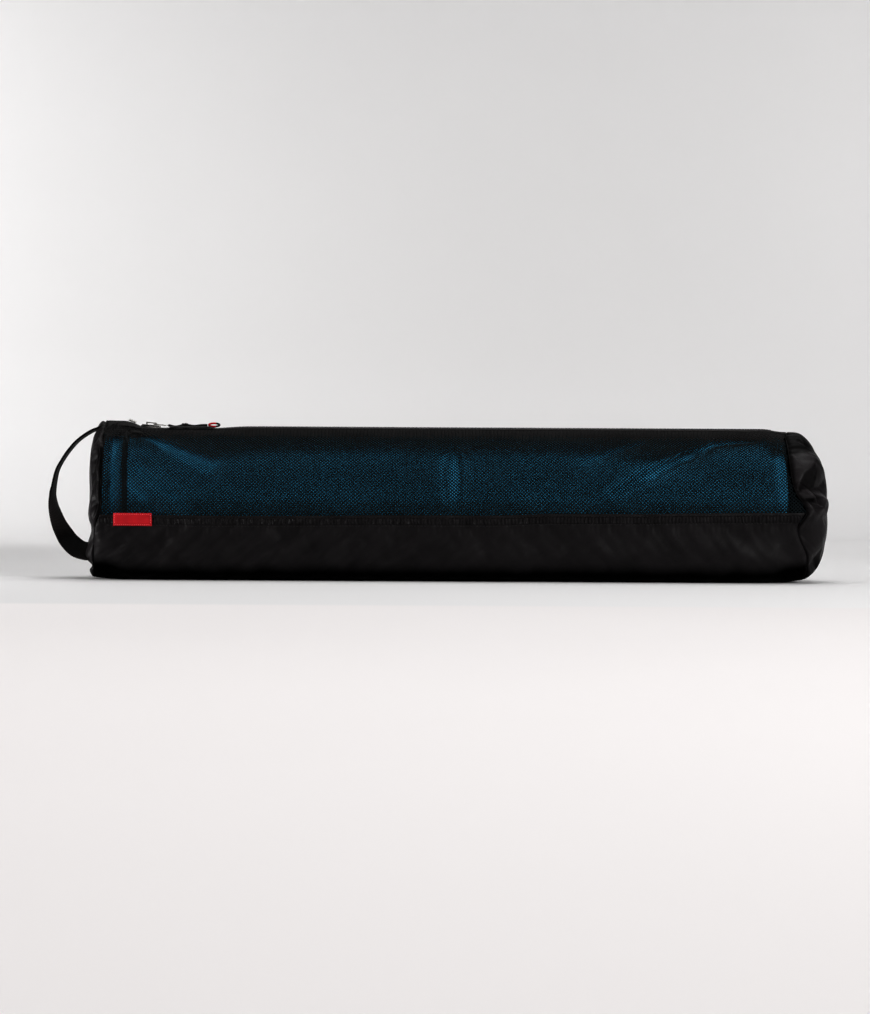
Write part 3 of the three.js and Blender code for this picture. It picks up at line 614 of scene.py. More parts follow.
def net_material(name="net_thread", base=(0.0060, 0.0102, 0.0120)):
    m = Shade(name, base, 0.6, specular=0.07)
    ob = m.where("Object")
    twist = m.wave(ob, 0.00033, "DIAGONAL", 0.6)
    cloud = m.noise(ob, 40.0, 3.0)
    m.set("Base Color", m.ramp(m.math("ADD", m.math("MULTIPLY", twist, 0.3), m.math("MULTIPLY", cloud, 0.7)), tones(base, 0.65, 1.4)))
    m.set("Roughness", m.span(cloud, 0.55, 0.72))
    m.set("Normal", m.bump(twist, 0.00006, 0.5))
    return m.mat


def mat_material():
    base = (0.056, 0.362, 0.600)
    m = Shade("foam_mat", base, 0.7, specular=0.12)
    ob = m.where("Object")
    cell = m.node("ShaderNodeTexVoronoi", feature="F1", Scale=900.0)
    m.link(ob, cell.inputs["Vector"])
    cloud = m.noise(ob, 9.0, 4.0)
    grain = m.noise(ob, 700.0, 2.0)
    tone = m.math("ADD", m.math("MULTIPLY", cloud, 0.55), m.math("MULTIPLY", grain, 0.45))
    m.set("Base Color", m.ramp(tone, tones(base, 0.86, 1.14)))
    m.set("Roughness", m.span(grain, 0.58, 0.76))
    m.set("Normal", m.bump(cell.outputs["Distance"], 0.00018, 0.5, m.bump(grain, 0.0001, 0.4)))
    return m.mat


def webbing_material():
    base = (0.0032, 0.0027, 0.0026)
    m = Shade("webbing", base, 0.6, specular=0.045)
    uv = m.where("UV")
    rib = m.wave(uv, 1.7, "X", 0.15)
    cross = m.wave(uv, 1.25, "Y", 0.2)
    weave = m.math("ADD", m.math("MULTIPLY", rib, 0.65), m.math("MULTIPLY", cross, 0.35))
    fuzz = m.noise(m.where("Object"), 900.0, 2.0)
    # painted light: the webbing is painted lighter where the loop turns over
    part = m.node("ShaderNodeSeparateXYZ")
    m.link(uv, part.inputs["Vector"])
    painted_light_patch = m.math("MULTIPLY", m.rise(part.outputs["X"], 84.0, 112.0), m.rise(part.outputs["X"], 140.0, 118.0))
    gain = m.node("ShaderNodeVectorMath", operation="SCALE")
    m.link(m.ramp(m.math("ADD", m.math("MULTIPLY", weave, 0.7), m.math("MULTIPLY", fuzz, 0.3)), tones(base, 0.6, 1.5)), gain.inputs[0])
    m.link(m.span(painted_light_patch, 1.0, 6.0), gain.inputs["Scale"])
    m.set("Base Color", gain.outputs["Vector"])
    m.set("Roughness", m.span(fuzz, 0.48, 0.68))
    m.set("Normal", m.bump(weave, 0.00028, 0.8))
    return m.mat


def tape_material(name, base, rib=0.8):
    m = Shade(name, base, 0.62, specular=0.08)
    uv = m.where("UV")
    twill = m.wave(m.where("UV", 1.0, 0.8), rib, "X", 0.2)
    line = m.wave(uv, rib * 0.75, "Y", 0.1)
    weave = m.math("ADD", m.math("MULTIPLY", twill, 0.6), m.math("MULTIPLY", line, 0.4))
    fuzz = m.noise(m.where("Object"), 500.0, 3.0)
    m.set("Base Color", m.ramp(m.math("ADD", m.math("MULTIPLY", weave, 0.6), m.math("MULTIPLY", fuzz, 0.4)), tones(base, 0.65, 1.4)))
    m.set("Roughness", m.span(fuzz, 0.54, 0.74))
    m.set("Normal", m.bump(weave, 0.00014, 0.7))
    return m.mat


def plastic_material(name, base, rough):
    m = Shade(name, base, rough, specular=0.4)
    ob = m.where("Object")
    grain = m.noise(ob, 1200.0, 2.0)
    cloud = m.noise(ob, 60.0, 2.0)
    m.set("Base Color", m.ramp(cloud, tones(base, 0.75, 1.3)))
    m.set("Roughness", m.span(cloud, rough - 0.08, rough + 0.1))
    m.set("Normal", m.bump(grain, 0.00003, 0.5))
    return m.mat


def metal_material():
    base = (0.56, 0.55, 0.53)
    m = Shade("bright_metal", base, 0.24, metallic=1.0)
    ob = m.where("Object")
    brush = m.noise(m.where("Object", (300, 2600, 2600)), 1.0, 3.0)
    cloud = m.noise(ob, 160.0, 3.0)
    m.set("Base Color", m.ramp(cloud, tones(base, 0.8, 1.1)))
    m.set("Roughness", m.span(m.math("ADD", m.math("MULTIPLY", brush, 0.5), m.math("MULTIPLY", cloud, 0.5)), 0.16, 0.38))
    m.set("Normal", m.bump(brush, 0.00002, 0.4))
    return m.mat


def label_material():
    base = (0.42, 0.012, 0.019)
    m = Shade("label_cloth", base, 0.6, specular=0.12)
    uv = m.where("UV")
    rib, pick = m.wave(uv, 0.42, "Y", 0.15), m.wave(uv, 0.34, "X", 0.15)
    weave = m.math("ADD", m.math("MULTIPLY", rib, 0.7), m.math("MULTIPLY", pick, 0.3))
    cloud = m.noise(m.where("Object"), 120.0, 3.0)
    m.set("Base Color", m.ramp(m.math("ADD", m.math("MULTIPLY", weave, 0.5), m.math("MULTIPLY", cloud, 0.5)), tones(base, 0.72, 1.2)))
    m.set("Roughness", m.span(cloud, 0.52, 0.7))
    m.set("Normal", m.bump(weave, 0.0001, 0.7))
    return m.mat


def cord_material(name, base):
    m = Shade(name, base, 0.6, specular=0.12)
    one = m.wave(m.where("UV", 1.0, 0.7), 0.62, "X", 0.1)
    two = m.wave(m.where("UV", 1.0, -0.7), 0.62, "X", 0.1)
    braid = m.math("MAXIMUM", one, two)
    fuzz = m.noise(m.where("Object"), 1500.0, 2.0)
    m.set("Base Color", m.ramp(m.math("ADD", m.math("MULTIPLY", braid, 0.6), m.math("MULTIPLY", fuzz, 0.4)), tones(base, 0.6, 1.3)))
    m.set("Roughness", m.span(fuzz, 0.52, 0.7))
    m.set("Normal", m.bump(braid, 0.00018, 0.8))
    return m.mat


def thread_material(name, base):
    m = Shade(name, base, 0.5, specular=0.15)
    ob = m.where("Object")
    ply = m.wave(ob, 0.0003, "DIAGONAL", 0.4)
    cloud = m.noise(ob, 300.0, 2.0)
    m.set("Base Color", m.ramp(m.math("ADD", m.math("MULTIPLY", ply, 0.5), m.math("MULTIPLY", cloud, 0.5)), tones(base, 0.7, 1.3)))
    m.set("Roughness", m.span(cloud, 0.42, 0.6))
    m.set("Normal", m.bump(ply, 0.00005, 0.5))
    return m.mat


def floor_material(name, base, far):
    """far: tint of the floor from a little in front of the bag backwards."""
    m = Shade(name, base, 0.75, specular=0.2)
    ob = m.where("Object")
    cloud = m.noise(ob, 1.3, 4.0)
    part = m.node("ShaderNodeSeparateXYZ")
    m.link(ob, part.inputs["Vector"])
    times = m.node("ShaderNodeVectorMath", operation="MULTIPLY")
    even = m.node("ShaderNodeVectorMath", operation="SCALE")
    m.link(m.ramp(cloud, tones(base, 0.985, 1.01)), even.inputs[0])
    near = m.rise(part.outputs["Y"], -0.535, -0.575)
    # painted shade on the near floor's right side and painted light on its left, evening out the right lamps' light
    side = m.math("MULTIPLY", m.math("MINIMUM", m.math("MAXIMUM", part.outputs["X"], -0.4), 0.4), near)
    m.link(m.math("SUBTRACT", 1.0, m.math("MULTIPLY", side, 0.17)), even.inputs["Scale"])
    m.link(even.outputs["Vector"], times.inputs[0])
    m.link(m.ramp(near, [(0.0, far), (1.0, (1.0, 1.0, 1.0))]), times.inputs[1])
    m.set("Base Color", times.outputs["Vector"])
    m.set("Roughness", m.span(cloud, 0.7, 0.82))
    return m.mat


NYLON = nylon_material()
HEM_NYLON = nylon_material("nylon_hemmed", hem=257.2)
END_NYLON = nylon_material("nylon_ends", painted_light_shade=True)
NET = net_material()
# a lighter grey copy of the thread: painted light on the net's upward-facing top band
NET_LIT_TOP = net_material("net_thread_lit_top", (0.0125, 0.0122, 0.0124))
FOAM = mat_material()
WEB = webbing_material()
TAPE = tape_material("zip_tape", (0.0150, 0.0140, 0.0140))
BAND = tape_material("seam_tape", (0.0180, 0.0170, 0.0172))
COIL = plastic_material("zip_coil", (0.006, 0.006, 0.0063), 0.36)
METAL = metal_material()
RED = label_material()
CORD_BLACK = cord_material("cord_black", (0.0065, 0.0063, 0.0063))
CORD_RED = cord_material("cord_red", (0.42, 0.012, 0.016))
THREAD = thread_material("hem_thread", (0.0125, 0.012, 0.0122))
THREAD_RED = thread_material("label_thread", (0.72, 0.10, 0.11))


def settle(ob, node):
    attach(ob, "root")
    if node:
        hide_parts(*([node] if isinstance(node, str) else node))
    return ob


# ---------------------------------------------------------------- camera
CAMERA_AT, CAMERA_ROLL, LENS = (-0.0027, -2.1, 0.0715), math.radians(0.32), 75.7
cam_data = bpy.data.cameras.new("camera")
cam_data.sensor_width, cam_data.lens = 36.0, LENS
cam_data.clip_start, cam_data.clip_end = 0.05, 50.0
cam = bpy.data.objects.new("camera", cam_data)
bpy.context.scene.collection.objects.link(cam)
c, s = math.cos(CAMERA_ROLL), math.sin(CAMERA_ROLL)
turn = Matrix(((c, -s, 0), (0, 0, -1), (s, c, 0)))
cam.matrix_world = Matrix.Translation(CAMERA_AT) @ turn.to_4x4()
bpy.context.scene.camera = cam

# ---------------------------------------------------------------- pull cord, its knot and end loop
cord_x = CORD[:, 0]
cord_rows = np.stack([cord_x, CORD[:, 1], top_line(cord_x) + CORD[:, 2]], -1)
cord_path = catmull(cord_rows, np.linspace(0, 1, 41))
pts, faces, uv = tube(cord_path, CORD_D / 2, 12)
pull_cord = add_mesh("pull_cord_braid", pts, faces, uv, [CORD_BLACK])
settle(pull_cord, "pull_cord")

t = np.linspace(0, 2 * math.pi, 96, endpoint=False)
ring_r = 1.75 + 0.75 * np.cos(3 * t)
knot_path = np.stack([1.18 * ring_r * np.cos(2 * t), 0.9 * ring_r * np.sin(2 * t), 0.95 * np.sin(3 * t)], -1)
knot_path += np.array([-249.0, float(np.interp(-249.0, cord_path[:, 0], cord_path[:, 1])),
                       float(np.interp(-249.0, cord_path[:, 0], cord_path[:, 2]))])
pts, faces, uv = tube(knot_path, 0.98, 10, closed=True)
pull_knot = settle(add_mesh("pull_knot", pts, faces, uv, [CORD_BLACK]), None)

a = np.linspace(0, 2 * math.pi, 64, endpoint=False)
loop_path = np.stack([PULL_LOOP["long"] * np.cos(a), 0.35 * np.sin(2 * a), PULL_LOOP["high"] * np.sin(a)], -1)
loop_path += np.array([PULL_LOOP["x"], 0, float(top_line(PULL_LOOP["x"])) + PULL_LOOP["up"]])
pts, faces, uv = tube(loop_path, PULL_LOOP["wire"], 10, closed=True, up=(0, 1, 0))
mid = np.concatenate([pts[f].mean(1) for f in faces])
pull_loop = add_mesh("pull_loop_braid", pts, faces, uv, [CORD_RED, CORD_BLACK],
                     (mid[:, 0] > PULL_LOOP["x"] + 2.0).astype(int))
settle(pull_loop, "pull_loop")

# ---------------------------------------------------------------- rolled mat
inner_r = math.sqrt(ROLL_OUTER**2 - ROLL_LENGTH * ROLL_PITCH / math.pi)
per_turn = 72
steps = int(round((ROLL_OUTER - inner_r) / ROLL_PITCH * per_turn))
turn_at = np.arange(steps + 1) / per_turn
frac = turn_at - np.floor(turn_at)
w = np.clip((frac - ROLL_ROUND) / (1 - ROLL_ROUND), 0, 1)
step_in = np.floor(turn_at) + w * w * (3 - 2 * w)
angle = np.radians(ROLL_EDGE + 360 * turn_at)
lengths = np.concatenate([[0, 0.5, 1.6], np.linspace(6, ROLL_X1 - ROLL_X0 - 6, 15),
                          [ROLL_X1 - ROLL_X0 - 1.6, ROLL_X1 - ROLL_X0 - 0.5, ROLL_X1 - ROLL_X0]])
ease = np.minimum(lengths, ROLL_X1 - ROLL_X0 - lengths)
ease = np.where(ease < 1.6, 0.9 * (1 - np.clip(ease / 1.6, 0, 1)) ** 2, 0)   # rounded ends


def spiral(offset, sign):
    r = ROLL_OUTER - offset - ROLL_PITCH * step_in
    sway = 0.22 * np.sin(lengths / 83.0)[:, None] * np.cos(angle * 1.0 + 0.7)[None, :]
    rr = r[None, :] - sign * ease[:, None] + sway * (sign > 0)
    x = ROLL_X0 + lengths
    return np.stack(np.broadcast_arrays(x[:, None], rr * np.cos(angle)[None, :], AXIS_Z + rr * np.sin(angle)[None, :]), -1)


pts, faces = wall(spiral(0.0, 1), spiral(ROLL_SHEET, -1))
mat_roll = settle(add_mesh("mat_roll", pts, outward(pts, faces), None, [FOAM]), "rolled_mat")

# ---------------------------------------------------------------- nylon bottom: hems, gathers and soft wrinkles
GATHERS = []
x = -306.0
while x < 338:
    long = rng.uniform(12, 30)
    lean = rng.choice([-1, 1]) * rng.uniform(6, 30) - 8
    top = -16.0 - rng.uniform(0, 1.5)
    GATHERS.append((x, top, x + lean, top - long / 1.3, rng.uniform(3.2, 6.0), rng.choice([-1, 1]) * rng.uniform(0.4, 0.95)))
    x += rng.uniform(9, 21)
WRINKLES = []
for _ in range(46):
    x0, d0 = rng.uniform(-300, 330), rng.uniform(-20, -44)
    run, drop = rng.uniform(18, 55) * rng.choice([-1, 1]), rng.uniform(6, 20)
    WRINKLES.append((x0, d0, x0 + run, d0 - drop, rng.uniform(3.0, 7.5), rng.choice([-1, 1, 1]) * rng.uniform(0.5, 1.2)))
HEM_ROWS = (-1.6, -7.2)                             # deg under the hem's edge


def hem_top(x):
    return through(HEM, x, 1) + 0.12 * wander(x, 33.0, 8)


def pucker_phase(x):
    return x / 5.6 * 2 * math.pi + 2.4 * wander(x, 23.0, 5) + 1.5 * wander(x, 9.0, 6)


def nylon_relief(x, deg):
    """Height of the hem, its puckers and the wrinkles over the plain bottom panel."""
    a = front(deg)
    back = np.asarray(deg) > 90
    xx = np.where(back, 14.0 - x, x)
    arc = math.radians(75)
    top = hem_top(x)
    w = a - top                                                             # deg from the hem's edge
    h = 0.42 * window(w, -7.9, 5.0, 1.2)                                    # double cloth of the hem
    h = h - 0.55 * np.exp(-((w * arc) / 0.55) ** 2)                         # rolled edge
    for row in HEM_ROWS:
        h = h - 0.34 * np.exp(-(((w - row) * arc) / 0.75) ** 2)
    pinch = 0.75 + 0.25 * wander(xx, 17.0, 9)
    free = 1 - window(x, -309, -270, 4.0) * ~back                           # flat under the label
    puck = np.sin(pucker_phase(xx)) + 0.4 * np.sin(2.3 * pucker_phase(xx) + 1.0)
    h = h + 0.28 * pinch * puck * free * window(w, -6.2, -2.4, 1.4)
    h = h + 0.20 * puck * free * window(w, -11.5, -8.3, 4.0)
    calm = window(xx, -300, 330, 14.0)
    h = h + calm * (free * ridges(xx, w - 6.4, GATHERS, fade="tip") + ridges(xx, a, WRINKLES, fade="ends"))
    h = h + 0.35 * calm * wander(xx, 41.0, 12) * window(a, -60, -22, 12)
    groove = np.exp(-(((seam(deg, RIGHT) - x) / 1.7) ** 2)) * window(a, -56, 0, 8)
    return h * window(x, -318, 334, 10.0) - 1.3 * groove


def floor_lift(x):
    """The cloth's lower corners stand a little off the surface."""
    return (2.2 * np.clip((-305 - x) / 25, 0, 1.2) ** 1.5 + 2.6 * np.clip((x - 318) / 30, 0, 1.2) ** 1.5)


rows_front = np.concatenate([np.linspace(-5, -15, 15), np.linspace(-16, -50, 23)[0:], np.linspace(-54, -90, 8)])
rows_back = 180 - rows_front[::-1][1:]
rows_all = np.concatenate([rows_front, rows_back])
cols = np.concatenate([np.linspace(0, 0.975, 470), np.linspace(0.9775, 1, 12)])
X = seam(rows_all, LEFT)[None, :] + SEAM_GAP + (seam(rows_all, RIGHT) - seam(rows_all, LEFT) - 2 * SEAM_GAP)[None, :] * cols[:, None]
F = front(rows_all)[None, :]
A = np.where(F > -30, F + (hem_top(X) + 5.0) * (F + 30) / 25, F)            # rows follow the hem's edge
A = np.where(rows_all[None, :] > 90, 180 - A, A)
relief = nylon_relief(X, A)
outer = on_tube(X, A, NYLON_OUT, relief)
inner = on_tube(X, A, NYLON_OUT - NYLON_WALL, np.clip(relief, -0.3, 0.2))
outer[..., 2] = np.maximum(outer[..., 2], floor_lift(X))
inner[..., 2] = np.maximum(inner[..., 2], floor_lift(X) + 1.0)
pts, faces = wall(outer, inner)
lengths_v = np.concatenate([[0], np.cumsum(np.linalg.norm(np.diff(outer[240], axis=0), axis=1))])
uv = np.stack([X, np.broadcast_to(lengths_v[None, :], X.shape)], -1).reshape(-1, 2)
bottom = add_mesh("bottom_cloth", pts, outward(pts, faces), np.concatenate([uv, uv]), [HEM_NYLON])
settle(bottom, "bottom_panel")
print("trough arc mm", lengths_v[-1])

# hem stitching, two rows on each side
hem = Build()
for side in (1, -1):
    for row in HEM_ROWS:
        xs = np.arange(-314.0, 334.0, 3.1)
        xs = xs + 0.25 * np.sin(xs * 1.7)
        x1 = xs + 2.35
        d0, d1 = hem_top(xs) + row + 0.10 * wander(xs, 30.0, 31), hem_top(x1) + row + 0.10 * wander(x1, 30.0, 31)
        if side < 0:
            d0, d1 = 180 - d0, 180 - d1
        p0 = on_tube(xs, d0, NYLON_OUT, nylon_relief(xs, d0) + 0.12)
        p1 = on_tube(x1, d1, NYLON_OUT, nylon_relief(x1, d1) + 0.12)
        stitches(hem, p0, p1, normal_of(on_tube, xs, d0, NYLON_OUT), 0.30)
hem_stitch = settle(hem.make("hem_stitches", [THREAD]), None)

# ---------------------------------------------------------------- net
NET_R = math.radians(1) * SKIN


def net_out(x, deg):
    """Height of the net's mid surface from the skin, kept on or off the roll."""
    a = front(deg)
    back = np.asarray(deg) > 90
    xx = np.where(back, x, x)
    extra = ridges(xx, a, NET_CONTACT) + ridges(xx, a, NET_SLACK)
    extra = extra + 0.25 * wander(xx + 2.0 * a, 37.0, 40) * window(a, -5, 60, 10)
    corner = window(xx, -322, -300, 8) * window(a, 50, 95, 14)
    extra = extra + corner * 0.7 * np.sin(xx / 2.9 * 2 * math.pi)
    hem_in = window(a, -20, -10.5, 3.0)
    return extra - 0.25 * hem_in - fall(xx) * window(a, 70, 95, 14)


def net_point(x, deg, out):
    r = layer(x, deg, -0.5 * NET_WALL, net_out(x, deg))
    r = np.where(np.asarray(x) < ROLL_X1 + 2, soft_max(r, ROLL_OUTER + 0.85, 1.2), r)
    return ring(x, deg, (r + out) * draw_in(x, deg))


def net_shut(x, a):
    """0 where the net is open, 1 where it is seen closed up."""
    top = np.interp(x, NET_OPEN[:, 0], NET_OPEN[:, 1])
    soft = np.interp(x, NET_OPEN[:, 0], NET_OPEN[:, 2])
    t = np.clip((a - top) / soft * 0.5 + 0.5, 0, 1)
    shut = t * t * (3 - 2 * t) * (1 - np.clip(ridges(x, a, NET_BANDS), 0, 1))
    d = x - seam(a, LEFT)
    shut = np.maximum(shut, 0.55 * window(d, -3.0, 5.0, 0.8))              # doubled along the left seam
    shut = np.maximum(shut, 0.95 * np.exp(-((d - 6.4) / 0.9) ** 2))
    shut = np.maximum(shut, 0.3 * window(a, -16, 1.0, 5.0))
    shut = np.maximum(shut, window(a - 6.5 * window(x, -301, -268, 12) - 3.0 * window(x, 268, 312, 10), 66, 95, 3.5))
    shut = np.maximum(shut, window(x, 324, 350, 8) * window(a, 50, 95, 8))  # slack over the corner of the roll
    return shut + 1.2 * window(x, -335, -304, 9) * window(a, 69, 95, 4)    # thick cloth of the corner


def net_panel(name, node, back):
    half = NET_PITCH / math.sqrt(2)
    i = np.arange(-200, 215)
    q0, q1 = (NET_FOOT + 1.2) * NET_R, (NET_HEAD - 0.4) * NET_R
    j = np.arange(math.floor(q0 / half) - 1, math.ceil(q1 / half) + 2)
    I, J = np.meshgrid(i, j, indexing="ij")
    P, Q = I * half, J * half
    a = Q / NET_R
    P = P + 1.3 * wander(P + 3 * a, 61.0, 50) + 0.5 * wander(P - 2 * a, 19.0, 51)
    a = a + 0.55 * wander(P, 73.0, 52) * window(a, 0, 70, 12)
    draw = ridges(P, a, [(*row[:4], row[4] * 1.2, fine) for row, fine in zip(NET_CONTACT, DRAWN)])
    ok = ((I + J) % 2 == 0) & (Q >= q0) & (Q <= q1)
    ok &= (P > seam(a, LEFT) - 0.6) & (P < seam(a, RIGHT) - 0.8)
    deg = 180 - a if back else a
    sign = np.where(I % 2 == 0, 1.0, -1.0)
    e = 0.3
    here = net_point(P, deg, 0.0)
    dx = net_point(P + e, deg, 0.0) - net_point(P - e, deg, 0.0)
    da = net_point(P, deg + e, 0.0) - net_point(P, deg - e, 0.0)
    N = unit(np.cross(dx, da))
    away = here - np.array([0, 0, AXIS_Z])
    away[..., 0] *= 0.0
    N = N * np.sign(np.sum(N * away, -1, keepdims=True))
    dx, da = unit(dx), unit(da)
    fine = np.clip(draw, 0, 1)
    shut = net_shut(P, a)
    hw = NET_HALF * (1 - 0.34 * fine * (1 - shut) + 0.62 * shut)
    tall = NET_TALL * (1 - 0.45 * fine)
    weave = 0.20 * (1 - 0.4 * fine)
    build = Build()
    count = np.cumsum(ok.ravel()).reshape(ok.shape) - 1
    total = int(ok.sum())
    for fam in (0, 1):
        way = 1 if fam else -1
        T = unit(dx + way * (da if not back else -da))
        B = np.cross(T, N)
        C = here + N * (weave * sign * (1 if fam == 0 else -1))[..., None]
        v0 = C + N * tall[..., None]
        v1 = C - N * (0.7 * tall)[..., None] + B * hw[..., None]
        v2 = C - N * (0.7 * tall)[..., None] - B * hw[..., None]
        pts = np.stack([v0[ok], v1[ok], v2[ok]], 1).reshape(-1, 3)
        nxt = np.zeros_like(ok)
        if way > 0:
            nxt[:-1, :-1] = ok[:-1, :-1] & ok[1:, 1:]
            u = count[:-1, :-1][nxt[:-1, :-1]]
            v = count[1:, 1:][nxt[:-1, :-1]]
        else:
            nxt[:-1, 1:] = ok[:-1, 1:] & ok[1:, :-1]
            u = count[:-1, 1:][nxt[:-1, 1:]]
            v = count[1:, :-1][nxt[:-1, 1:]]
        f4 = np.concatenate([np.stack([3 * u + k, 3 * v + k, 3 * v + (k + 1) % 3, 3 * u + (k + 1) % 3], -1) for k in range(3)])
        has_next = np.zeros(total, bool)
        has_prev = np.zeros(total, bool)
        has_next[u] = True
        has_prev[v] = True
        first = np.where(has_next & ~has_prev)[0]
        last = np.where(has_prev & ~has_next)[0]
        f3 = np.concatenate([np.stack([3 * first + 1, 3 * first, 3 * first + 2], -1),
                             np.stack([3 * last, 3 * last + 1, 3 * last + 2], -1)])
        used = has_next | has_prev
        keep = np.repeat(used, 3)
        new = np.cumsum(keep) - 1
        f4, f3 = new[f4], new[f3]
        pts = pts[keep]
        faces = outward(pts - pts.mean(0), [f4, f3])
        mid = pts[faces[0][:200]].mean(1)
        build.add(pts, faces)
    ob = build.make(name, [NET, NET_LIT_TOP])
    me = ob.data
    at = np.zeros(3 * len(me.polygons), np.float32)
    me.polygons.foreach_get("center", at)
    at = at.reshape(-1, 3) / MM
    # threads facing up past about 64 deg get the lighter copy, a painted light from above
    up = np.degrees(np.arctan2(at[:, 2] - AXIS_Z, np.abs(at[:, 1])))
    me.polygons.foreach_set("material_index", (up + np.random.RandomState(3).uniform(-5, 5, len(up)) > 64).astype(np.int32))
    return settle(ob, node)


net_front = net_panel("net_front", "mesh_front", False)
net_back = net_panel("net_back", "mesh_back", True)

# folded and stitched top edges of the net, beside the coil
edge = Build()
for back in (False, True):
    xs = np.linspace(-314, 341, 327)
    dd = np.full(xs.shape, 84.6 + 0.0)
    dd = dd + 0.12 * wander(xs, 24.0, 60)
    d = 180 - dd if back else dd
    path = on_tube(xs, d, -0.35, 0.10 * wander(xs, 13.0, 61) - fall(xs) + 2.0 * window(xs, -260, -224, 6) + 0.2 * window(xs, -324, -302, 9) + 0.2 * window(xs, -303, -290, 6))
    pts, faces, uv = tube(path, 0.85, 7)
    edge.add(pts, faces, uv)
    rows = np.array([78.2, 79.5, 81.0, 82.5, 84.2])
    R = 180 - rows if back else rows
    XX, RR = np.meshgrid(xs, R, indexing="ij")
    lift = 0.12 * np.sin(XX / 4.7) * wander(XX, 15.0, 62) - fall(XX) + 2.0 * window(XX, -260, -224, 6) + window(XX, -324, -302, 9) * (0.2 + 0.45 * np.sin(XX / 2.9 * 2 * math.pi)) + 0.2 * window(XX, -303, -290, 6)
    pts, faces = wall(on_tube(XX, RR, 0.45, lift), on_tube(XX, RR, -0.05, lift))
    uvw = np.stack([XX, RR * NET_R], -1).reshape(-1, 2)
    edge.add(pts, outward(pts - np.array([0, 0, AXIS_Z + 70]), faces), np.concatenate([uvw, uvw]))
    s0 = np.arange(-288, 334, 3.3)
    deg = np.full(s0.shape, 79.9 if not back else 180 - 79.9)
    stitches(edge, on_tube(s0, deg, 0.55, -fall(s0) - 0.3), on_tube(s0 + 2.4, deg, 0.55, -fall(s0 + 2.4) - 0.3), normal_of(on_tube, s0, deg, 0.5), 0.24, mat=1)
net_edges = settle(edge.make("net_edges", [TAPE, THREAD]), None)

# ---------------------------------------------------------------- zip tape and coil
u = np.linspace(0, 1, 260)
rows = np.linspace(TAPE_EDGE, 180 - TAPE_EDGE, 15)
XX = seam(rows, LEFT)[None] + 0.6 + (seam(rows, RIGHT) - seam(rows, LEFT) - 1.2)[None] * u[:, None]
RR = np.broadcast_to(rows[None], XX.shape)
wavy = 0.15 * wander(XX, 21.0, 70) - fall(XX)
pts, faces = wall(on_tube(XX, RR, -1.3, wavy), on_tube(XX, RR, -2.3, wavy))
uvw = np.stack([XX, RR * NET_R], -1).reshape(-1, 2)
tape = settle(add_mesh("zip_tape_cloth", pts, outward(pts - np.array([0, 0, AXIS_Z + 70]), faces), np.concatenate([uvw, uvw]), [TAPE]), "zip_tape")

coil = Build()
tooth_x = np.arange(COIL_X0, COIL_X1, 1.32)
across = np.array([-2.75, -2.55, -1.9, -0.9, 0.2, 1.0, 1.35])
drop = np.array([-1.15, -0.45, 0.05, 0.12, 0.10, -0.02, -0.45])
sides = 6
ang = 2 * math.pi * np.arange(sides) / sides
fat = np.array([0.42, 0.44, 0.44, 0.45, 0.50, 0.52, 0.30])
flip = np.where(np.arange(len(tooth_x)) % 2 == 0, 1.0, -1.0)
base_z = top_line(tooth_x) - fall(tooth_x) - 0.05
slope = np.gradient(base_z, tooth_x)
cx = tooth_x[:, None, None] + fat[None, :, None] * np.cos(ang)[None, None] * np.ones((len(tooth_x), 1, 1))
cy = flip[:, None, None] * across[None, :, None] * np.ones((1, 1, sides))
cz = base_z[:, None, None] + drop[None, :, None] + fat[None, :, None] * np.sin(ang)[None, None]
pts = np.stack(np.broadcast_arrays(cx, cy, cz), -1)
one = quads(len(across), sides, True)
j = np.arange(1, sides - 1)
caps = np.concatenate([np.stack([0 * j, j + 1, j], -1), np.stack([0 * j, j, j + 1], -1) + (len(across) - 1) * sides])
for way in (1.0, -1.0):
    pick = flip == way
    p = pts[pick].reshape(-1, 3)
    off = (np.arange(int(pick.sum())) * len(across) * sides)[:, None, None]
    f4, f3 = (one[None] + off).reshape(-1, 4), (caps[None] + off).reshape(-1, 3)
    fs = outward(pts[pick][0].reshape(-1, 3) - pts[pick][0].reshape(-1, 3).mean(0), [one])
    if not np.array_equal(fs[0], one):
        f4, f3 = f4[:, ::-1], f3[:, ::-1]
    coil.add(p, [f4, f3])
for way in (1.0, -1.0):                                  # filler cords that the coil is sewn round
    xs = np.linspace(COIL_X0, COIL_X1, 240)
    path = np.stack([xs, np.full(xs.shape, way * 1.6), top_line(xs) - fall(xs) - 0.75], -1)
    p, f, uvc = tube(path, 0.5, 6)
    coil.add(p, f, uvc)
zip_coil = settle(coil.make("zip_coil_teeth", [COIL]), "zip_coil")

# ---------------------------------------------------------------- dark bands inside the net near the left end
for back, node in ((False, "seam_tape_front"), (True, "seam_tape_back")):
    xs = np.linspace(SEAM_TAPE["x0"], SEAM_TAPE["x1"], 9)
    rr = np.linspace(SEAM_TAPE["top"], SEAM_TAPE["foot"], 80)
    XX, RR = np.meshgrid(xs, rr, indexing="ij")
    D = 180 - RR if back else RR
    bow = 0.25 * np.sin((XX - SEAM_TAPE["x0"]) / 5.1 * math.pi)
    XX = XX + SEAM_TAPE["lean"] * (RR + 8) + 0.2 * wander(RR * 4, 31.0, 80)
    low = np.maximum(layer(XX, D, SEAM_TAPE["out"], bow), ROLL_OUTER + 1.0)
    pts, faces = wall(ring(XX, D, low), ring(XX, D, low - 0.7))
    uvw = np.stack([RR * NET_R, XX], -1).reshape(-1, 2)
    band = add_mesh(node.replace("tape", "band"), pts, outward(pts - pts.mean(0), faces), np.concatenate([uvw, uvw]), [BAND])
    settle(band, node)


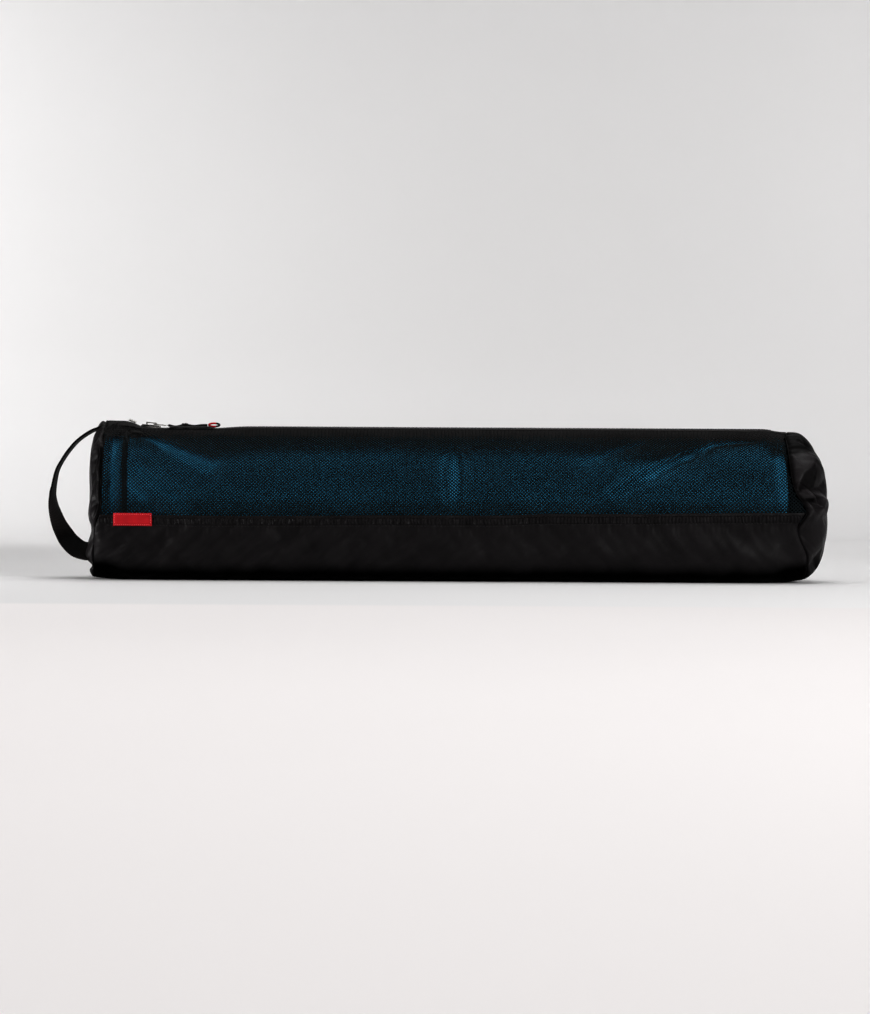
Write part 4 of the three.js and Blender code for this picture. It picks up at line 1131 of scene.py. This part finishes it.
# ---------------------------------------------------------------- end panels
def crumple(rows, deg, s):
    """Flat facets between the table's points, over the end seen along X."""
    pts, hs = [], []
    for d, way, h in rows:
        for dd in (d, 180 - d + 6):
            pts.append(((1 - way) * math.cos(math.radians(dd)), (1 - way) * math.sin(math.radians(dd))))
            hs.append(h)
    for d in range(0, 360, 15):
        for way in (0.0, 0.66):
            pts.append(((1 - way) * math.cos(math.radians(d)), (1 - way) * math.sin(math.radians(d))))
            hs.append(0.0)
    pts.append((0.0, 0.0))
    hs.append(0.0)
    vs, _, tris, orig, _, _ = delaunay_2d_cdt([Vector(p) for p in pts], [], [], 0, 1e-6)
    hv = np.array([hs[o[0]] if o else 0.0 for o in orig])
    vs = np.array([tuple(v) for v in vs])
    x, y = (1 - s) * np.cos(np.radians(deg)), (1 - s) * np.sin(np.radians(deg))
    out = np.zeros(x.shape)
    for t in tris:
        a, b, c = (vs[k] for k in t)
        den = (b[1] - c[1]) * (a[0] - c[0]) + (c[0] - b[0]) * (a[1] - c[1])
        if abs(den) < 1e-12:
            continue
        l0 = ((b[1] - c[1]) * (x - c[0]) + (c[0] - b[0]) * (y - c[1])) / den
        l1 = ((c[1] - a[1]) * (x - c[0]) + (a[0] - c[0]) * (y - c[1])) / den
        l2 = 1 - l0 - l1
        inside = (l0 >= -1e-9) & (l1 >= -1e-9) & (l2 >= -1e-9)
        val = l0 * hv[t[0]] + l1 * hv[t[1]] + l2 * hv[t[2]]
        out = np.where(inside, val, out)
    return out


def painted_fold_light(deg, s):
    """Painted light and shade of the right end's folds, each an outline with crisp edges."""
    a = front(deg)
    x, y = (1 - s) * np.cos(np.radians(a)) * SKIN, (1 - s) * np.sin(np.radians(a)) * SKIN
    tone = np.ones(x.shape)
    for value, corners in FOLD_PAINTED_LIGHT:
        p = np.array([((1 - w) * math.cos(math.radians(d)), (1 - w) * math.sin(math.radians(d))) for d, w in corners]) * SKIN
        q = np.roll(p, -1, 0)
        turn_way = np.sign(np.sum(p[:, 0] * q[:, 1] - p[:, 1] * q[:, 0]))
        deep = np.full(x.shape, 1e3)
        for (x0, y0), (x1, y1) in zip(p, q):
            long = math.hypot(x1 - x0, y1 - y0)
            deep = np.minimum(deep, turn_way * ((x1 - x0) * (y - y0) - (y1 - y0) * (x - x0)) / long)
        t = np.clip(deep / 1.4 + 0.5, 0, 1)
        tone = tone + (value - tone) * t * t * (3 - 2 * t)
    return tone


def on_end(side, s, deg, inward, relief=0.0):
    """Point of an end panel: s = 0 at the seam, 1 at the middle."""
    left = side == "left"
    a = front(deg)
    col, square = (LEFT, LEFT_SQUARE) if left else (RIGHT, RIGHT_SQUARE)
    x0, sign = (LEFT_X, -1.0) if left else (RIGHT_X, 1.0)
    depth = (LEFT_DEPTH if left else RIGHT_DEPTH) - inward
    n = through(ENDS, a, square)
    seam_x = seam(deg, col) + sign * SEAM_GAP
    start = np.maximum(0, sign * (seam_x - x0) / depth)
    phi0 = np.arcsin(np.minimum(1, start) ** (n / 2))
    phi = phi0 + (math.pi / 2 - phi0) * s
    edge_r = layer(seam(deg, col), deg, NYLON_OUT - inward)
    k = np.maximum(0, np.cos(phi)) ** (2 / n)
    p = ring(x0 + sign * depth * np.sin(phi) ** (2 / n), deg, edge_r * k)
    short = sign * (seam_x - x0) < 0
    p[..., 0] += np.where(short, (seam_x - x0) * (1 - s) ** 3, 0)
    away = np.stack(np.broadcast_arrays(sign * depth * k, p[..., 1], p[..., 2] - AXIS_Z), -1)
    # the true normal of the rounding leans from the radius to the axis as s grows
    lean = np.clip(s * 1.6, 0, 1)
    radial = np.stack([np.zeros_like(p[..., 1]), p[..., 1], p[..., 2] - AXIS_Z], -1)
    axis = np.zeros_like(radial)
    axis[..., 0] = sign
    nrm = unit(unit(radial) * np.cos(lean * math.pi / 2)[..., None] + axis * np.sin(lean * math.pi / 2)[..., None])
    if left:
        for y, z, half, h in BULGES:
            p[..., 0] -= h * np.exp(-(((p[..., 1] - y) / half) ** 2) - ((p[..., 2] - z) / half) ** 2)
        tuck = 4.8 * np.exp(-(((p[..., 2] - 14.5) / 3.8) ** 2)) + 2.2 * np.exp(-(((p[..., 2] - 46.0) / 7.0) ** 2)) - 0.8 * np.exp(-(((p[..., 2] - 24.0) / 5.0) ** 2))
        p[..., 0] += tuck * np.clip((s - 0.02) / 0.14, 0, 1)
    else:
        pleat = np.zeros(p.shape[:-1])
        for d, half, h in PLEATS:
            pleat = pleat + h * np.exp(-(((a - d) / half) ** 2))
        pleat = pleat * np.sin(math.pi * np.clip(s, 0, 1)) ** 0.8 * (1 - s * s)
        p = p + unit(away) * pleat[..., None]
    p = p + nrm * np.asarray(relief)[..., None]
    p[..., 2] = np.maximum(p[..., 2], floor_lift(p[..., 0]) + (0.0 if inward == 0 else 1.0))
    return p


def end_panel(side, name, node, table, rings, around, tall):
    s = np.linspace(0, 1, rings) ** 1.15 * 0.985
    deg = -90 + 360 * np.arange(around) / around
    S, D = np.meshgrid(s, deg, indexing="ij")
    h = tall * crumple(table, D, S)
    # painted light and shade that follow the crumple's height: raised facets lighter, hollows darker, and painted shade
    # in the seam's groove
    painted_light_shade = np.clip(1 + (0.16 if side == "left" else 0.05) * h, 0.3, 1.75) * (1 - 0.7 * np.exp(-(S / 0.026) ** 2))
    if side == "right":
        painted_light_shade = painted_light_shade * painted_fold_light(D, S)
    h = 0.5 * h + 0.25 * (np.roll(h, 1, 1) + np.roll(h, -1, 1))            # soften the facets' edges a little
    h[1:-1] = 0.5 * h[1:-1] + 0.25 * (h[2:] + h[:-2])
    gather = np.sin(np.radians(D) * 41 + 1.2 * np.sin(np.radians(D) * 7)) * np.exp(-(S / 0.09) ** 2)
    a = front(D)
    on_floor = window(a, -91, -62, 12)
    h = (h + 0.30 * gather) * (1 - on_floor)
    h = h - (0.7 if side == "left" else 1.5) * np.exp(-(S / 0.025) ** 2) * (1 - on_floor)
    h = h - (2.7 if side == "left" else 1.3) * np.exp(-(S / 0.09) ** 2) * window(a, 62, 95, 14)         # the corners at the zip's ends lie lower
    if side == "left":                                                     # folds along the seam
        h = h - 1.6 * window(a, 62, 95, 14) * window(S, 0.04, 0.45, 0.1)
        high = window(a, -4, 46, 10)
        # painted shade in the two folds along the seam
        painted_light_shade = painted_light_shade * (1 - high * (0.88 * np.exp(-(((S - 0.05) / 0.04) ** 2)) + 0.65 * np.exp(-(((S - 0.15 - 0.03 * np.sin(a / 8)) / 0.022) ** 2))))
        h = h - high * (1.7 * np.exp(-(((S - 0.05) / 0.035) ** 2)) + 1.2 * np.exp(-(((S - 0.15 - 0.03 * np.sin(a / 8)) / 0.022) ** 2)))
    if side == "right":
        h = h - 2.2 * window(a, 66, 95, 18) * window(S, 0.0, 0.5, 0.12)
        h = h + 1.3 * np.exp(-(S / 0.025) ** 2) * window(a, 70, 95, 12)
        # painted shade over the top of the right end
        painted_light_shade = painted_light_shade * (1 - 0.5 * window(a, 56, 95, 14) * window(S, -0.1, 0.5, 0.3))
    # painted shade on the cloth that turns under towards the floor
    painted_light_shade = np.where(a < -40, painted_light_shade * (1 - 0.8 * np.clip((-40 - a) / 16, 0, 1)), painted_light_shade)
    outer = on_end(side, S, D, 0.0, h)
    inner = on_end(side, S, D, NYLON_WALL, np.clip(h, -9, 0.3))
    hub = [outer[-1].mean(0), inner[-1].mean(0)]
    n = rings * around
    pts = np.concatenate([outer.reshape(-1, 3), inner.reshape(-1, 3), hub])
    j = np.arange(around)
    k = (j + 1) % around
    f4 = np.concatenate([quads(rings, around, True), quads(rings, around, True, n, True), np.stack([n + j, n + k, k, j], -1)])
    last = (rings - 1) * around
    f3 = np.concatenate([np.stack([last + j, last + k, np.full(around, 2 * n)], -1),
                         np.stack([n + last + k, n + last + j, np.full(around, 2 * n + 1)], -1)])
    faces = outward(pts - pts.mean(0), [f4, f3])
    build = Build()
    build.add(pts, faces, pts[:, 1:3])
    # the sewn seam: a narrow roll of cloth in the groove between the panels
    col = LEFT if side == "left" else RIGHT
    dd = -90 + 360 * np.arange(240) / 240
    lay_in = on_tube(seam(dd, col), dd, NYLON_OUT - 1.7, -(3.0 if side == "right" else 1.2) * window(front(dd), 68, 95, 16))
    lay_in[:, 2] = np.maximum(lay_in[:, 2], floor_lift(lay_in[:, 0]) + 0.9)
    p, f, uvr = tube(lay_in, 0.6, 7, closed=True, up=(1, 0, 0))
    build.add(p, f, uvr)
    ob = build.make(name, [END_NYLON])
    # painted shade: the inner side gets a darker tone and the seam's roll a darker one still
    tone = np.full(len(ob.data.vertices), 0.45, np.float32)
    tone[:n], tone[n:2 * n] = painted_light_shade.ravel(), 0.7
    ob.data.attributes.new("painted_light_shade", "FLOAT", "POINT").data.foreach_set("value", tone)
    return settle(ob, node)


end_left = end_panel("left", "end_cloth_left", "end_panel_left", CRUMPLE_LEFT, 64, 288, 2.4)
end_right = end_panel("right", "end_cloth_right", "end_panel_right", CRUMPLE_RIGHT, 84, 384, 1.75)

# ---------------------------------------------------------------- hand loop of webbing
us = np.linspace(0, 1, 170)
path = catmull(STRAP[:, :3], us)
tangent = unit(np.gradient(path, axis=0))
row = us * (len(STRAP) - 1)
twist = np.radians(np.interp(row, np.arange(len(STRAP)), STRAP[:, 3]))
across_v = np.array([0.0, -1.0, 0.0]) + tangent * tangent[:, 1:2]
across_v = unit(across_v)
inside = unit(np.cross(tangent, across_v))
wv = across_v * np.cos(twist)[:, None] + inside * np.sin(twist)[:, None]
nv = unit(np.cross(wv, tangent))
prof_v = np.array([-1, -0.985, -0.95, -0.90, -0.86, -0.6, -0.3, 0, 0.3, 0.6, 0.86, 0.90, 0.95, 0.985, 1])
prof_h = np.array([0.10, 0.62, 0.92, 1.0, 0.80, 0.82, 0.82, 0.82, 0.82, 0.82, 0.80, 1.0, 0.92, 0.62, 0.10])
section_v = np.concatenate([prof_v, prof_v[::-1]])
section_h = np.concatenate([prof_h, -prof_h[::-1]])
bow = 0.25 * np.sin(us * math.pi * 5) * np.sin(us * math.pi)
pts = (path[:, None] + wv[:, None] * (section_v * STRAP_WIDTH / 2)[None, :, None]
       + nv[:, None] * (section_h * STRAP_WALL / 2)[None, :, None]
       + nv[:, None] * (bow[:, None] * (1 - section_v**2)[None, :])[..., None])
length = np.concatenate([[0], np.cumsum(np.linalg.norm(np.diff(path, axis=0), axis=1))])
uvs = np.stack(np.broadcast_arrays(length[:, None], (section_v * STRAP_WIDTH / 2)[None, :]), -1)
m = len(section_v)
flat_pts = pts.reshape(-1, 3)
f4 = quads(len(us), m, True)
half_n = len(prof_v)
e = np.arange(half_n - 1)
end0 = np.stack([e, e + 1, m - 2 - e, m - 1 - e], -1)
end1 = end0[:, ::-1] + (len(us) - 1) * m
strap = add_mesh("strap_webbing", flat_pts, outward(flat_pts - flat_pts.mean(0), [np.concatenate([f4, end0[:, ::-1], end1[:, ::-1]])]),
                 uvs.reshape(-1, 2), [WEB])
settle(strap, "strap_loop")
print("strap length mm", length[-1])

# ---------------------------------------------------------------- label, bare, sewn down all round
build = Build()
foot = NYLON_OUT + 0.75
xs = np.linspace(LABEL["x0"], LABEL["x1"], 49)
rr = np.linspace(LABEL["top"], LABEL["foot"], 17)
XX, RR = np.meshgrid(xs, rr, indexing="ij")
ex = np.minimum(XX - LABEL["x0"], LABEL["x1"] - XX)
er = np.minimum(LABEL["top"] - RR, RR - LABEL["foot"]) * NET_R
edge_d = np.minimum(ex, er)
puff = 0.35 * np.exp(-((edge_d - 2.6) / 1.6) ** 2) + 0.25 * np.clip((edge_d - 1.2) / 3, 0, 1)
seat = -0.30 * np.exp(-((edge_d - 1.1) / 0.45) ** 2) - 0.35 * np.exp(-(edge_d / 0.3) ** 2)
over = 0.22 * np.sin(XX / 7.3 + 0.4) * 0.6
pts, faces = wall(on_tube(XX, RR, foot + LABEL["wall"], puff + seat + over), on_tube(XX, RR, foot, over * 0.5 + np.minimum(seat, 0) * 0.2))
uvw = np.stack([XX, RR * NET_R], -1).reshape(-1, 2)
build.add(pts, outward(pts - pts.mean(0), faces), np.concatenate([uvw, uvw]))
inset = 1.15
lines = []
for d_row in (LABEL["top"] - inset / NET_R, LABEL["foot"] + inset / NET_R):
    x0 = np.arange(LABEL["x0"] + inset, LABEL["x1"] - inset - 1.2, 2.0)
    lines.append((x0, np.full(x0.shape, d_row), x0 + 1.45, np.full(x0.shape, d_row)))
for xc in (LABEL["x0"] + inset, LABEL["x1"] - inset):
    d0 = np.arange(LABEL["top"] - 1.5 / NET_R, LABEL["foot"] + 2.4 / NET_R, -2.0 / NET_R)
    lines.append((np.full(d0.shape, xc), d0, np.full(d0.shape, xc), d0 - 1.45 / NET_R))
for xa, da_, xb, db_ in lines:
    up = foot + LABEL["wall"] - 0.05
    stitches(build, on_tube(xa, da_, up, 0.13 * np.sin(xa / 7.3 + 0.4)), on_tube(xb, db_, up, 0.13 * np.sin(xb / 7.3 + 0.4)),
             normal_of(on_tube, xa, da_, up), 0.28, mat=1)
label = settle(build.make("label_cloth", [RED, THREAD_RED]), "label")


# ---------------------------------------------------------------- zip hardware
def bevelled(node, name, width, angle=28.0):
    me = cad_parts[node].data.copy()
    me.name = name
    bm = bmesh.new()
    bm.from_mesh(me)
    bmesh.ops.remove_doubles(bm, verts=bm.verts, dist=1e-6)
    bmesh.ops.dissolve_limit(bm, angle_limit=math.radians(4), verts=bm.verts, edges=bm.edges)
    sharp = [e for e in bm.edges if len(e.link_faces) == 2 and e.calc_face_angle(0) > math.radians(angle)]
    bmesh.ops.bevel(bm, geom=sharp, offset=width * MM, offset_type="OFFSET", segments=3, profile=0.5, affect="EDGES", clamp_overlap=True)
    bmesh.ops.triangulate(bm, faces=[f for f in bm.faces if len(f.verts) > 4])
    bmesh.ops.recalc_face_normals(bm, faces=bm.faces)
    for f in bm.faces:
        f.smooth = True
    bm.to_mesh(me)
    bm.free()
    me.materials.clear()
    me.materials.append(METAL)
    ob = bpy.data.objects.new(name, me)
    bpy.context.scene.collection.objects.link(ob)
    return settle(ob, node)


slider = bevelled("zip_slider", "slider_metal", 0.28)
puller = bevelled("zip_puller", "puller_metal", 0.18)
stop = bevelled("zip_stop", "stop_metal", 0.25)

# ---------------------------------------------------------------- floor, far backdrop and light
FLOOR_FRONT, FLOOR_BACK, COVE, WALL_TOP, HALF_WIDTH = -6.0, 2.7, 0.5, 4.5, 6.0
profile = [(FLOOR_FRONT, 0.0), (-2.0, 0.0), (0.0, 0.0), (FLOOR_BACK, 0.0)]
profile += [(FLOOR_BACK + COVE * math.sin(t), COVE * (1 - math.cos(t))) for t in np.linspace(0.08, math.pi / 2, 18)]
profile += [(FLOOR_BACK + COVE, WALL_TOP)]
wide = np.linspace(-HALF_WIDTH, HALF_WIDTH, 13)
grid = np.array([[(x * 1000, y * 1000, z * 1000) for y, z in profile] for x in wide])
sweep = add_mesh("sweep", grid.reshape(-1, 3), [quads(len(wide), len(profile))], None, [floor_material("pale_sweep", (0.790, 0.764, 0.760), (0.948, 0.970, 0.975))])
sweep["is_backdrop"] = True


def area(name, at, aim, size, power, spread=180):
    d = bpy.data.lights.new(name, "AREA")
    d.shape, d.size, d.size_y, d.energy, d.spread = "RECTANGLE", size[0], size[1], power, math.radians(spread)
    o = bpy.data.objects.new(name, d)
    o.location = at
    o.rotation_euler = (Vector(aim) - Vector(at)).to_track_quat("-Z", "Y").to_euler()
    o.visible_camera = False
    bpy.context.scene.collection.objects.link(o)
    return o


area("top", (0.2, -0.1, 2.6), (0.0, 0.0, 0.0), (2.0, 1.6), 27.0)
area("right_front", (1.5, -1.8, 0.8), (0.0, 0.0, 0.07), (0.8, 0.8), 44.0)
area("right_low", (2.1, -0.8, 0.4), (0.05, -0.05, 0.07), (0.6, 0.5), 5.0)
area("left_low", (-1.7, -0.35, 0.17), (-0.33, 0.0, 0.08), (0.35, 0.22), 2.9, spread=60)
area("back_wall", (0.2, 1.4, 2.9), (0.0, 3.2, 0.8), (3.0, 0.8), 9.7, spread=110)
area("left_wall", (-2.3, 1.4, 1.4), (-1.6, 3.2, 0.6), (1.0, 1.4), 19.2, spread=120)
area("right_wall", (2.3, 1.4, 1.4), (1.6, 3.2, 0.6), (1.0, 1.4), 11.2, spread=120)
area("near_floor", (-0.8, -1.7, 1.9), (-0.5, -1.6, 0.0), (2.6, 0.9), 6.8, spread=90)
area("back_floor", (0.5, 1.2, 2.4), (0.4, 1.0, 0.0), (3.0, 1.0), 13.0, spread=110)
world = bpy.data.worlds.new("studio")
bpy.context.scene.world = world
world.use_nodes = True
world.node_tree.nodes["Background"].inputs["Color"].default_value = (1.0, 0.99, 0.98, 1)
world.node_tree.nodes["Background"].inputs["Strength"].default_value = 0.01
bpy.context.scene.view_settings.view_transform = "Standard"
bpy.context.scene.view_settings.look = "None"
bpy.context.scene.view_settings.gamma = 0.8          # the photograph's deep blacks
bpy.context.scene.cycles.denoising_prefilter = "NONE"   # keeps the net's fine mesh

# ---------------------------------------------------------------- close
counts = {o.name: sum(len(p.vertices) - 2 for p in o.data.polygons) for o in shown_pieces() if o.type == "MESH"}
print("triangles", sum(counts.values()), sorted(counts.items(), key=lambda kv: -kv[1])[:8])
